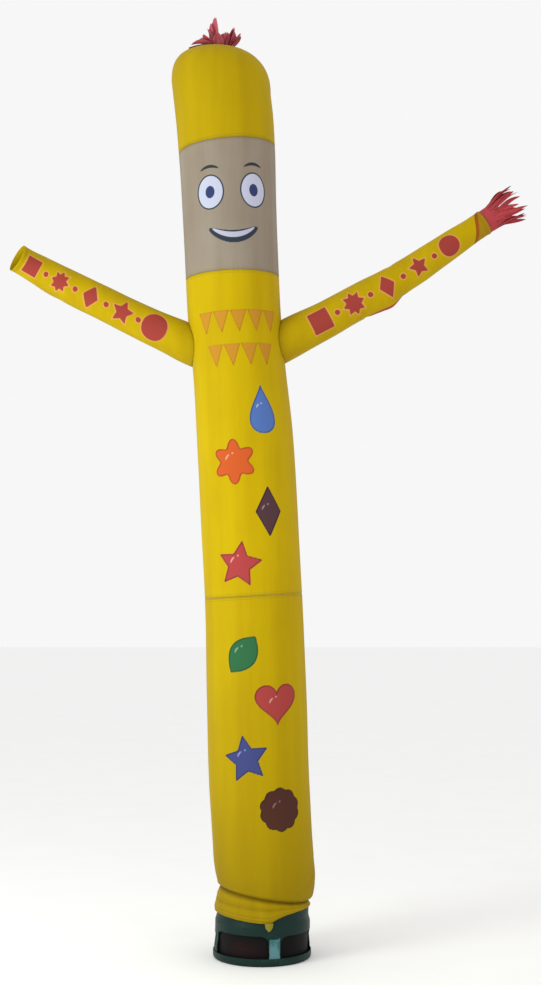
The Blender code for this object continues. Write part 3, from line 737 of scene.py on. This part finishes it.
def sleeve_line(rows, along):
    """The table's columns and the line's direction at any array of lengths along the sleeve."""
    known, flat, step = runs(rows), along.ravel(), 0.002
    table = smooth_rows(rows, known, flat)
    low, high = np.clip(flat - step, 0, known[-1]), np.clip(flat + step, 0, known[-1])
    line = smooth_rows(rows, known, high)[:, :3] - smooth_rows(rows, known, low)[:, :3]
    line /= np.linalg.norm(line, axis=1)[:, None]
    return table.reshape(*along.shape, 5), line.reshape(*along.shape, 3)


def across_line(line):
    """Two directions square to a line: towards the front, and upwards."""
    front = np.array([0.0, -1.0, 0.0]) - line * -line[..., 1:2]
    front /= np.linalg.norm(front, axis=-1)[..., None]
    up = np.cross(line, front)
    return front, up * np.where(up[..., 2:3] < 0, -1.0, 1.0)


def sleeve_points(rows, along, around, relief=0.0):
    """Points of a sleeve: its line, plus its radius towards each angle from the front upwards,
    with its underside let down by the slack."""
    table, line = sleeve_line(rows, along)
    front, up = across_line(line)
    hanging = np.clip(-np.sin(around), 0, None) ** SLACK_SHAPE
    radius = (table[..., 3] + table[..., 4] * hanging + relief)[..., None]
    return table[..., :3] + radius * (np.cos(around)[..., None] * front
                                      + np.sin(around)[..., None] * up)


def leaves_body(rows, around):
    """For each angle, the length along the sleeve at which it comes out of the body's side."""
    along = np.linspace(0.0, 0.30, 301)[:, None] + 0 * around
    points = sleeve_points(rows, along, around + 0 * along)
    section = smooth_rows(BODY, BODY[:, 0], points[..., 2].ravel()).reshape(*along.shape, 4)
    height = points[..., 2] - section[..., 3] * (points[..., 0] - section[..., 1])
    section = smooth_rows(BODY, BODY[:, 0], height.ravel()).reshape(*along.shape, 4)
    outside = np.hypot(points[..., 0] - section[..., 1], points[..., 1]) > section[..., 2] + SEAM_GAP
    return along[outside.argmax(axis=0), np.arange(len(around))]


def print_marks(ink, marks):
    """A row of red shapes along the sleeve, each with a thin light orange rim."""
    for shape, along, width, tall in marks:
        ink.add("motif", SHAPES[shape], np.array([along, MARK_UP]), (width, tall), MARK_INK, MARK_RIM,
                rim_width=MARK_RIM_WIDTH)


MARK_UP = -0.008
MARK_INK, MARK_RIM = "#9c3b37", "#cf9a4a"
MARK_RIM_WIDTH = 0.0060


def sleeve(name, rows, marks, decorate, relief_at, replaced):
    """One sleeve, sewn to the body's side at its first row."""
    around = np.linspace(-math.pi, math.pi, SLEEVE_COLUMNS, endpoint=False)
    end, start = runs(rows)[-1], leaves_body(rows, around)
    share = np.linspace(0, 1, int((end - start.min()) / SLEEVE_ROW))[:, None]
    along = start + (end - start) * share
    turn = around + 0 * along
    relief = (pucker(turn, along - start, 0.0012, 0.034, 17) + pucker(turn, end - 0.018 - along, 0.0012,
              0.012, 23) + 0.7 * billow(turn, 3 * along) + relief_at(along, turn))
    points = sleeve_points(rows, along, turn, relief)
    radius = sleeve_line(rows, along)[0][..., 3]
    ink = Print(along, radius * turn)
    print_marks(ink, marks)
    decorate(ink, along, end)
    right = rows[-1, 0] > 0
    closing = np.concatenate([along, along[:, :1]], 1)
    ends = np.minimum(along - start, end - along)
    mesh = grid_mesh(name, points, radius.mean() * with_end(around) + 0 * closing, closing, flip=right,
                     from_end=np.concatenate([ends, ends[:, :1]], 1))
    # A little darker all over, painted shade near the body where the sleeve leaves it, and thin dark
    # lines at both seams.
    soil_and_shading = (0.10 + 0.12 * np.exp(-(along - start) / 0.10) + 0.04 * bump(along, start, 0.005)
            + 0.18 * bump(along, end - 0.018, 0.003))
    ink.store(mesh, soil_and_shading)
    piece = finish_piece(name, mesh, yellow_nylon, replaced)


def right_decoration(ink, along, end):
    """A stripe before the hem, an orange hem, and the bleed of red dye along the slack fold."""
    slant = 0.5 * 0.3
    for low, high, tint in ((end - 0.038, end + 0.3, "#a17c10"), (end - 0.055, end - 0.038, "#984f12")):
        band = np.array([(low - slant, -0.3), (high - slant, -0.3), (high + slant, 0.3),
                         (low + slant, 0.3)])
        ink.add("detail", band, np.zeros(2), (1, 1), tint)
    ink.add("detail", SHAPES["disc"], np.array([0.560, -0.120]), (0.100, 0.022), "#a8433e")


def mark_row(first, last, shapes):
    """Shapes at equal steps along a sleeve, smaller towards the hand, with a dot between two."""
    places = np.linspace(first, last, 2 * len(shapes) - 1)
    sizes = np.linspace(0.062, 0.050, len(shapes))
    marks = [(shape, place, size, 1.1 * size) for shape, place, size in zip(shapes, places[::2], sizes)]
    return marks + [("disc", place, 0.015, 0.015) for place in places[1::2]]


RIGHT_MARKS = mark_row(0.250, 0.930, ("square", "burst", "diamond", "star", "disc"))
LEFT_MARKS = mark_row(0.240, 0.880, ("disc", "star", "diamond", "burst", "square"))
sleeve(
    "right_sleeve_cloth", RIGHT_SLEEVE, RIGHT_MARKS, right_decoration,
    lambda s, a: -0.0030 * np.clip(-np.sin(a), 0, 1) * (bump(s, 0.452, 0.012) + bump(s, 0.640, 0.014))
    - 0.0024 * bump(s, 0.655, 0.020) * np.clip(np.sin(a), 0, 1),
    ["right_arm"])
sleeve(
    "left_sleeve_cloth", LEFT_SLEEVE, LEFT_MARKS, lambda ink, along, end: None,
    lambda s, a: -0.0016 * bump(s, 0.70, 0.02) * np.clip(-np.sin(a), 0, 1) + 0 * s,
    ["left_arm"])

# %% [markdown]
# The fringes are strips of red nylon on a rolled heading. Each strip is a ribbon with its own
# path: it leaves the heading at an angle, bends over, sways to a side and twists. All ribbons are
# worked out at once, as one array with an axis for the ribbon and an axis for the place along it.

# %% Ribbons
Strip = namedtuple("Strip", "around lean droop length half_width")
HAIR = np.array((
    Strip(322, 3, -2, 0.136, 0.018),    # the tall lobe
    Strip(305, 6, -2, 0.118, 0.016),
    Strip(290, 16, 4, 0.094, 0.017),
    Strip(80, 6, 8, 0.096, 0.030),      # the round lobe on the right
    Strip(58, 10, 12, 0.088, 0.026),
    Strip(96, 24, 14, 0.088, 0.022),
    Strip(74, 40, 20, 0.074, 0.022),
    Strip(287, 92, 12, 0.124, 0.022),   # lies along the crown
    Strip(276, 70, 30, 0.104, 0.024),
    Strip(262, 46, 24, 0.084, 0.023),
    Strip(300, 34, 24, 0.078, 0.022),
    Strip(20, 20, 34, 0.064, 0.022),
    Strip(350, 18, 30, 0.062, 0.020),
    Strip(150, 24, 16, 0.080, 0.022),
    Strip(205, 20, 10, 0.086, 0.022),
), float)
HAND = np.array((
    Strip(0, 14, 4, 0.150, 0.0085), Strip(33, 10, -4, 0.160, 0.0085), Strip(65, 5, 4, 0.145, 0.0085),
    Strip(98, 4, -4, 0.155, 0.0085), Strip(131, 6, 5, 0.150, 0.0085), Strip(164, 12, -6, 0.160, 0.0085),
    Strip(196, 16, 6, 0.140, 0.0085), Strip(229, 20, -8, 0.150, 0.0085),
    Strip(262, 24, -12, 0.130, 0.0085), Strip(295, 21, -14, 0.155, 0.0085),
    Strip(327, 17, -5, 0.150, 0.0085),
), float)
FRINGE_TUCK, RIBBON_ROWS, RIBBON_COLUMNS = 0.011, 26, 7
FRINGE_WEIGHT, RIBBON_CLOTH = 0.30, 0.0005
HAIR_RADIUS, HAIR_HEADING = 0.0385, 0.020
HAND_RADIUS, HAND_HEADING = 0.0545, 0.052
UPWARDS = np.array([0.0, 0.0, 1.0])


def ribbon_points(strips, radius, height, root, line, tip, curled, unruly, rng):
    """Ribbons side by side round a heading. The lean from the line grows along each ribbon, and
    adding up its cosines and sines gives the path; the cross-section bends and twists with it.
    The width shrinks to the share tip at the end, curled is how far the edges roll in, and
    unruly is how far the ribbons sway, twist and sag."""
    front, up = across_line(line[None])
    side = np.cross(line, front[0])
    count = len(strips)
    t = np.linspace(0, 1, RIBBON_ROWS)[None, :, None]
    around = np.radians(strips[:, 0])[:, None, None]
    lean = np.radians(strips[:, 1, None, None] * np.clip(0.5 + 1.5 * t, 0, 1)
                      + strips[:, 2, None, None] * t)
    each = (count, 1, 1)
    swing = rng.uniform(-0.35, 0.35, each)
    sway = unruly * swing * np.sin(math.pi * t * rng.uniform(0.8, 1.6, each))
    twist = unruly * rng.uniform(-1.1, 1.1, each) * t**1.4
    half_width = strips[:, 4, None, None]
    away = np.cos(around) * front[0] + np.sin(around) * side
    across = -np.sin(around) * front[0] + np.cos(around) * side
    step = strips[:, 3, None, None] / (RIBBON_ROWS - 1)
    heading = np.cos(sway) * (np.sin(lean) * away + np.cos(lean) * line) + np.sin(sway) * across
    heading = heading - unruly * FRINGE_WEIGHT * t**2 * UPWARDS
    heading /= np.linalg.norm(heading, axis=-1)[..., None]
    start = root + away * radius + line * height - step * heading[:, :1]
    path = start + np.cumsum(step * heading, axis=1)
    outward = np.cross(across, heading)
    wide = np.cos(twist) * across + np.sin(twist) * outward
    normal = np.cos(twist) * outward - np.sin(twist) * across
    profile = (half_width * (0.80 + 0.50 * np.sin(math.pi * t**0.8))
               * np.sqrt(1 - (1 - tip**2) * t**6))
    s = np.linspace(-1, 1, RIBBON_COLUMNS)[None, None, :, None]
    curl = curled * rng.choice([-1.0, 1.0], each) * rng.uniform(0.5, 1.0, each) * t**0.5
    return (path[:, :, None] + (profile * s[..., 0])[..., None] * wide[:, :, None]
            + (profile * curl * (s[..., 0] ** 2))[..., None] * normal[:, :, None]
            + (0.005 * t**8 * np.sin(9 * s[..., 0] + 3 * around))[..., None] * heading[:, :, None])


def fringe(name, strips, per_strip, radius, height, root, line, tip, curled, unruly, material, replaced,
           seed):
    """The heading and all ribbons of one fringe, joined into one mesh."""
    rng = np.random.default_rng(seed)
    front, _ = across_line(line[None])
    side = np.cross(line, front[0])
    turn = np.linspace(0, 2 * math.pi, 49)[:-1]
    rise = np.linspace(0, height + 0.004, 9)[:, None]
    crimp = 0.0016 * np.sin(19 * turn + 2 * np.sin(4 * turn)) * rise / height
    heading = (root + (radius + crimp)[..., None] * (np.cos(turn)[:, None] * front[0]
               + np.sin(turn)[:, None] * side) + rise[..., None] * line)
    many = np.repeat(strips, per_strip, axis=0)
    offset = np.tile(np.linspace(-0.5, 0.5, per_strip) if per_strip > 1 else [0.0], len(strips))
    many[:, 0] += offset * 180.0 / len(strips)
    many[:, 1] += unruly * rng.uniform(-5, 4, len(many))
    many[:, 3] *= 1 - unruly * rng.uniform(0.0, 0.20, len(many))
    ribbons = ribbon_points(many, radius, height, root, line, tip, curled, unruly, rng)
    tube = grid_mesh(name, heading, *unrolled(radius, turn, rise))
    parts = [tube] + [grid_mesh(f"{name}_strip", points, *strip_uv(points, strip[4]), closed=False)
                      for points, strip in zip(ribbons, many)]
    mesh = joined(name, parts)
    # Painted shade: each ribbon is darker in stripes across its width where it folds, by a random amount
    # for each ribbon. The heading is a little darker all over.
    fold = abs(np.sin(np.linspace(0, 2.5 * math.pi, RIBBON_COLUMNS)))
    each = np.tile(fold, RIBBON_ROWS) * 0.55
    shade = np.concatenate([np.full(heading[..., 0].size, 0.25)] + [each * rng.uniform(0.2, 1.4)
                           for _ in range(len(many))])
    set_soil_and_shading(mesh, shade)
    piece = finish_piece(name, mesh, material, replaced, RIBBON_CLOTH)


def strip_uv(points, half_width):
    """Metres across and along one ribbon."""
    rows, columns = points.shape[:2]
    run = np.linalg.norm(np.diff(points[:, columns // 2], axis=0), axis=1)
    along = np.concatenate([[0.0], np.cumsum(run)])[:, None] + np.zeros(columns)
    return np.linspace(-half_width, half_width, columns) + 0 * along, along


def joined(name, meshes):
    """Several meshes as one, with their faces and UV maps one after the other."""
    mesh, base, points, faces, uv = bpy.data.meshes.new(name), 0, [], [], []
    for part in meshes:
        flat_points = np.empty(len(part.vertices) * 3)
        part.vertices.foreach_get("co", flat_points)
        corners = np.empty(len(part.loops), np.int32)
        part.loops.foreach_get("vertex_index", corners)
        places = np.empty(len(part.loops) * 2, np.float32)
        part.uv_layers[0].data.foreach_get("uv", places)
        points.append(flat_points.reshape(-1, 3))
        faces.append(corners.reshape(-1, 4) + base)
        uv.append(places)
        base += len(part.vertices)
        bpy.data.meshes.remove(part)
    mesh.from_pydata(np.concatenate(points).tolist(), [], np.concatenate(faces).tolist())
    mesh.uv_layers.new(name="cloth").data.foreach_set("uv", np.concatenate(uv))
    mesh.shade_smooth()
    return mesh


crown = np.array([BODY[-1, 1], 0.0, SHOULDER + CROWN_HEIGHT - FRINGE_TUCK])
fringe("hair_ribbons", HAIR, 1, HAIR_RADIUS, HAIR_HEADING, crown, UPWARDS, 0.35, 0.75, 0.35,
       faded_nylon, ["hair_fringe"], seed=7)
wrist_line = sleeve_line(RIGHT_SLEEVE, runs(RIGHT_SLEEVE)[-1:])[1][0]
wrist = RIGHT_SLEEVE[-1, :3] - wrist_line * FRINGE_TUCK
fringe("hand_ribbons", HAND, 3, HAND_RADIUS, HAND_HEADING, wrist, wrist_line, 0.10, 0.55, 1.0,
       red_nylon, ["hand_fringe"], seed=3)

# %% [markdown]
# The blower is a drum of sheet steel in a pressed pan, spray painted dark teal. The paint is
# semi-gloss. It has gone paler in patches. The post at the front right is painted paler still: a
# painted highlight where its flat face catches the light.

# %% Blower materials
def painted_steel(name, paint, worn, wear, roughness):
    """Sprayed enamel on steel: fine orange-peel bump, dust in large patches, rubbed places."""
    made, tree, shader = new_material(name, Roughness=roughness, IOR=1.5)
    shader.inputs["Specular IOR Level"].default_value = 0.16
    place = add(tree, "ShaderNodeTexCoord").outputs["Object"]
    patches = add(tree, "ShaderNodeTexNoise", {"Vector": place, "Scale": 14.0, "Detail": 6.0}).outputs[0]
    cover = add(tree, "ShaderNodeMapRange", {"Value": patches, "From Min": 0.62 - wear,
                                             "From Max": 0.72 - wear}).outputs[0]
    cover = add(tree, "ShaderNodeMath", {0: cover, 1: 0.5 + wear}, operation="MULTIPLY").outputs[0]
    colour = add(tree, "ShaderNodeMix", {0: cover, MIX_A: linear(paint), MIX_B: linear(worn)},
                 data_type="RGBA").outputs[MIX_OUT]
    tree.links.new(colour, shader.inputs["Base Color"])
    rough = add(tree, "ShaderNodeMapRange", {"Value": patches, "To Min": roughness - 0.1,
                                             "To Max": roughness + 0.15}).outputs[0]
    tree.links.new(rough, shader.inputs["Roughness"])
    peel = add(tree, "ShaderNodeTexNoise", {"Vector": place, "Scale": 420.0, "Detail": 2.0}).outputs[0]
    bumps = add(tree, "ShaderNodeBump", {"Height": peel, "Strength": 0.2, "Distance": 0.0006})
    tree.links.new(bumps.outputs[0], shader.inputs["Normal"])
    return made


teal_steel = painted_steel("sprayed teal enamel on steel", "#0b2723", "#143a36", 0.06, 0.45)
# The front right post's paler teal is a painted highlight where its flat face catches the light.
post_highlight_steel = painted_steel("paler teal enamel as painted highlight", "#39686c", "#5f8a8d", 0.12, 0.42)
motor_iron = painted_steel("dark cast iron", "#150c0d", "#331614", 0.14, 0.60)

# %% [markdown]
# The drum's wall is a sheet with four arched windows. Its grid runs from the windows' edge up to
# the neck, so the arches are smooth curves of the mesh itself and need no cutting.

# %% Drum
DRUM = np.array((
    (0.0150, 0.2120), (0.0420, 0.2120), (0.0980, 0.2055), (0.1220, 0.2095), (0.1610, 0.2095),
    (0.1860, 0.2020), (0.2260, 0.2020), (0.2400, 0.1880), (0.2680, 0.1880),
))
DRUM_LEAN = math.radians(1.0)
DRUM_FOOT, DRUM_TOP, WINDOW_TOP = 0.0150, 0.2680, 0.127
WINDOWS, POST_WIDTH, POST_TURN, WINDOW_CORNER = 4, 0.046, math.radians(15.0), 0.040
DRUM_RADIUS, DRUM_WALL = 0.2095, 0.0025


def lean_over(points):
    """Turns points about the Y axis by the drum's lean."""
    c, s = math.cos(DRUM_LEAN), math.sin(DRUM_LEAN)
    x, z = points[..., 0].copy(), points[..., 2].copy()
    points[..., 0], points[..., 2] = c * x + s * z, c * z - s * x
    return points


def window_edge(count):
    """One bay's lower edge from post to post, as angle and height: up a post's side, round the
    corner, along the top, and down the next."""
    half_bay = math.pi / WINDOWS
    half_post = POST_WIDTH / 2 / DRUM_RADIUS
    corner = WINDOW_CORNER / DRUM_RADIUS
    turn = np.linspace(0, math.pi / 2, count // 4)
    corner_angle = -half_bay + half_post + corner * (1 - np.cos(turn))
    corner_height = WINDOW_TOP - WINDOW_CORNER * (1 - np.sin(turn))
    rise = np.linspace(DRUM_FOOT, WINDOW_TOP - WINDOW_CORNER, count // 4)[:-1]
    left = np.stack([np.append(np.full(len(rise), -half_bay + half_post), corner_angle),
                     np.append(rise, corner_height)], -1)
    foot = np.array([(-half_bay, DRUM_FOOT), (-half_bay + half_post / 2, DRUM_FOOT)])
    inner = np.linspace(left[-1, 0], -left[-1, 0], count // 2)[1:-1]
    top = np.stack([inner, np.full(len(inner), WINDOW_TOP)], -1)
    right = np.concatenate([foot, left]) * (-1, 1)
    return np.concatenate([foot, left, top, right[::-1]])


def drum_shell():
    """All four bays in one closed grid: straight lines from the window edge to the neck's edge."""
    edge = window_edge(48)[:-1]
    bay = 2 * math.pi / WINDOWS
    low = np.concatenate([edge + (bay * (k + 0.5), 0) for k in range(WINDOWS)])
    high = np.linspace(0, 2 * math.pi, len(low), endpoint=False)
    t = np.linspace(0, 1, 44)[:, None]
    angle = low[:, 0] * (1 - t) + high * t + POST_TURN
    height = low[:, 1] * (1 - t) + DRUM_TOP * t
    radius = np.interp(height, DRUM[:, 0], DRUM[:, 1])
    points = round_axis(radius, angle, height)
    closing = np.concatenate([angle, angle[:, :1] + 2 * math.pi], 1) * DRUM_RADIUS
    mesh = grid_mesh("drum_shell", lean_over(points), closing,
                     np.concatenate([height, height[:, :1]], 1))
    finish_piece("drum_shell", mesh, teal_steel, ["blower_drum"], DRUM_WALL)
    # The front right post gets the paler teal: a painted highlight.
    mesh.materials.append(post_highlight_steel)
    centre = (angle - POST_TURN + bay / 2) % bay - bay / 2
    on_post = ((abs(centre) < POST_WIDTH / DRUM_RADIUS * 0.52) & (height < WINDOW_TOP - 0.012)
               & (abs(turned_from(angle, POST_TURN)) < bay / 2))
    mesh.polygons.foreach_set("material_index", on_post[:-1].astype(np.int32).ravel())


drum_shell()

# %% [markdown]
# The pan and the motor are turned shapes: a profile of radius and height carried round the axis.

# %% Pan, motor and strap end
def turned(name, profile, material, replaced, count=144, ribs=0.0, rib_count=30):
    """A closed turned shape. Its profile runs from the axis round the outside and back."""
    profile = np.array(profile, float)
    around = 2 * math.pi * np.arange(count) / count
    radius = profile[:, :1] * (1 + ribs * np.clip(np.cos(rib_count * around), -0.3, 0.7)
                               * (profile[:, 1:] > profile[:, 1].min() + 0.02))
    points = round_axis(radius, around, profile[:, 1:])
    run = np.concatenate([[0.0], np.cumsum(np.linalg.norm(np.diff(profile, axis=0), axis=1))])[:, None]
    mesh = grid_mesh(name, points, *unrolled(profile[:, 0].max(), around, run))
    shape = bmesh.new()
    shape.from_mesh(mesh)
    bmesh.ops.remove_doubles(shape, verts=shape.verts, dist=1e-6)
    bmesh.ops.recalc_face_normals(shape, faces=shape.faces)
    shape.to_mesh(mesh)
    shape.free()
    mesh.shade_smooth()
    mesh.set_sharp_from_angle(angle=math.radians(50))
    finish_piece(name, mesh, material, replaced, thickness=0.0)


PAN_RADIUS, PAN_HEIGHT, PAN_SHEET, PAN_CORNER = 0.2166, 0.034, 0.003, 0.012


def pan_profile():
    """The pan's section: flat bottom, round corner, wall, rolled rim, and back inside."""
    turn = np.linspace(0, math.pi / 2, 9)
    outer, inner = PAN_CORNER, PAN_CORNER - PAN_SHEET
    middle = np.array([PAN_RADIUS - PAN_CORNER, PAN_CORNER])
    arc = np.stack([np.sin(turn), -np.cos(turn)], -1)
    roll = np.linspace(0, math.pi, 7)
    rim = np.stack([PAN_RADIUS - PAN_SHEET / 2 + PAN_SHEET / 2 * np.cos(roll),
                    PAN_HEIGHT - PAN_SHEET / 2 + PAN_SHEET / 2 * np.sin(roll)], -1)
    return np.concatenate([[(0.0, 0.0)], middle + outer * arc, rim, middle + inner * arc[::-1],
                           [(0.0, PAN_SHEET)]])


turned("foot_pan_shell", pan_profile(), teal_steel, ["foot_pan"])
MOTOR_FOOT = PAN_SHEET + SEAM_GAP
MOTOR_TOP = MOTOR_FOOT + 0.125
turned("motor_casing", (
    (0.0, MOTOR_FOOT), (0.080, MOTOR_FOOT), (0.090, MOTOR_FOOT + 0.006), (0.090, MOTOR_FOOT + 0.022),
    (0.086, MOTOR_FOOT + 0.026), (0.086, MOTOR_TOP - 0.026), (0.090, MOTOR_TOP - 0.022),
    (0.090, MOTOR_TOP - 0.010), (0.082, MOTOR_TOP), (0.030, MOTOR_TOP + 0.002),
    (0.016, MOTOR_TOP + 0.004), (0.016, MOTOR_TOP + 0.028), (0.0, MOTOR_TOP + 0.030),
), motor_iron, ["fan_motor"], ribs=0.02)


def strap_end():
    """The strap's free end: a small curved sheet with a rounded, slightly frayed tip."""
    top, near, turn = HEM - HEM_DROOP + 0.004, DRUM_RADIUS + 0.0046, math.radians(8.5)
    width, length = 0.036, 0.036
    down = np.linspace(0, 1, 15)[:, None]
    side = np.linspace(-0.5, 0.5, 15)
    narrow = 1 - 0.45 * down**2.2
    x = side * width * narrow
    z = top - length * down * (1 - 0.25 * (2 * side) ** 2 * down) + 0.0006 * np.sin(40 * side) * down**3
    out = near + 0.0004 * np.sin(3 * down) + 0.0003 * np.cos(9 * side)
    points = np.stack([np.sin(turn) * out + np.cos(turn) * x, -np.cos(turn) * out + np.sin(turn) * x,
                       z], -1)
    mesh = grid_mesh("strap_end", points, x + 0 * down, z, closed=False, flip=True)
    set_soil_and_shading(mesh, np.full(len(mesh.vertices), 0.12))
    webbing = nylon("pale yellow webbing", "#8f862c", "#7a7122", "#3d3a18", False, 0.8)
    piece = finish_piece("strap_end", mesh, webbing, ["strap_tab"], 0.0018)


strap_end()

# %% [markdown]
# Blowers draw their air through a guard, so that no leaf or finger gets in. Behind the windows
# stands a round screen of black lacquered wire, woven so close that it looks solid from a few
# steps away. Its wires are 4 mm apart, drawn 5 mm apart. One reddish patch on it, low at the
# front left, is painted light: a lit place inside the drum.

# %% Intake screen
SCREEN_RADIUS, SCREEN_FOOT, SCREEN_TOP = 0.2000, PAN_SHEET + SEAM_GAP, 0.136
SCREEN_WALL, WIRE_APART, WIRE_WIDTH = 0.0015, 0.005, 0.0016


def wire_screen():
    """A low cylinder whose wall waves in and out with its wires: two products of sines."""
    around = 2 * math.pi * np.arange(360) / 360
    height = np.linspace(SCREEN_FOOT, SCREEN_TOP, 60)[:, None]
    radius = SCREEN_RADIUS + 0.0003 * np.sin(90 * around) * np.sin(height / WIRE_APART * math.pi)
    points = round_axis(radius, around, height)
    mesh = grid_mesh("intake_screen", points, *unrolled(SCREEN_RADIUS, around, height))
    # A reddish patch low at the front left: painted light, a lit place inside the drum.
    painted_lit_patch = 0.8 * bump(turned_from(around, math.radians(-24)), 0, 0.42) * bump(height, 0.070, 0.030)
    set_soil_and_shading(mesh, painted_lit_patch)
    made, tree, shader = new_material("black lacquered wire screen", Roughness=0.6)
    shader.inputs["Specular IOR Level"].default_value = 0.10
    wires = threads(tree, WIRE_APART, WIRE_WIDTH)
    soil_and_shading = add(tree, "ShaderNodeAttribute", attribute_name="soil_and_shading").outputs["Fac"]
    colour = add(tree, "ShaderNodeMix", {0: wires, MIX_A: linear("#040404"), MIX_B: linear("#0f0e10")},
                 data_type="RGBA").outputs[MIX_OUT]
    # Mixes in the reddish patch of painted light.
    colour = add(tree, "ShaderNodeMix", {0: soil_and_shading, MIX_A: colour, MIX_B: linear("#241011")},
                 data_type="RGBA").outputs[MIX_OUT]
    tree.links.new(colour, shader.inputs["Base Color"])
    relief = add(tree, "ShaderNodeBump", {"Height": wires, "Strength": 0.5, "Distance": 0.001})
    tree.links.new(relief.outputs[0], shader.inputs["Normal"])
    finish_piece("intake_screen", mesh, made, [], SCREEN_WALL)


wire_screen()

# %% [markdown]
# Soft light: a large lamp on the left at chest height, a weak warm one on the right, and a pale
# sky. The floor is plain and pale.

# %% Floor and light
def soft_lamp(name, location, softness, power, tint):
    """A large ball of light: softness is its radius, which blurs the edge of every shadow."""
    lamp = bpy.data.lights.new(name, "POINT")
    lamp.shadow_soft_size, lamp.energy, lamp.color = softness, power, linear(tint)[:3]
    ball = bpy.data.objects.new(name, lamp)
    ball.location = location
    ball.visible_camera = False
    bpy.context.scene.collection.objects.link(ball)


FLOOR_HALF = 40.0
floor_x, floor_y = np.meshgrid((-FLOOR_HALF, FLOOR_HALF), (-FLOOR_HALF, FLOOR_HALF))
floor_points = np.stack([floor_x, floor_y, 0 * floor_x], -1)
floor_mesh = grid_mesh("floor", floor_points, floor_x, floor_y, closed=False)
floor_paint, floor_tree, floor_shader = new_material("matt pale floor paint", Roughness=0.9)
speckle = add(floor_tree, "ShaderNodeTexNoise", {
    "Vector": add(floor_tree, "ShaderNodeTexCoord").outputs["Object"], "Scale": 3.0}).outputs[0]
floor_tone = add(floor_tree, "ShaderNodeMix", {0: speckle, MIX_A: linear("#f6f6f5"),
                 MIX_B: linear("#fafafa")}, data_type="RGBA").outputs[MIX_OUT]
floor_tree.links.new(floor_tone, floor_shader.inputs["Base Color"])
floor_mesh.materials.append(floor_paint)
floor = bpy.data.objects.new("floor", floor_mesh)
bpy.context.scene.collection.objects.link(floor)

world = bpy.data.worlds.new("pale sky")
world.use_nodes = True
world.node_tree.nodes["Background"].inputs["Color"].default_value = linear("#ffffff")
world.node_tree.nodes["Background"].inputs["Strength"].default_value = 0.93
bpy.context.scene.world = world
soft_lamp("left lamp", (-3.0, -2.4, 2.5), 0.9, 300.0, "#f6fff6")
soft_lamp("right lamp", (4.0, -3.0, 3.0), 0.9, 40.0, "#ffd9a8")
print("floor:", 2 * FLOOR_HALF, "m square, with two lamps")
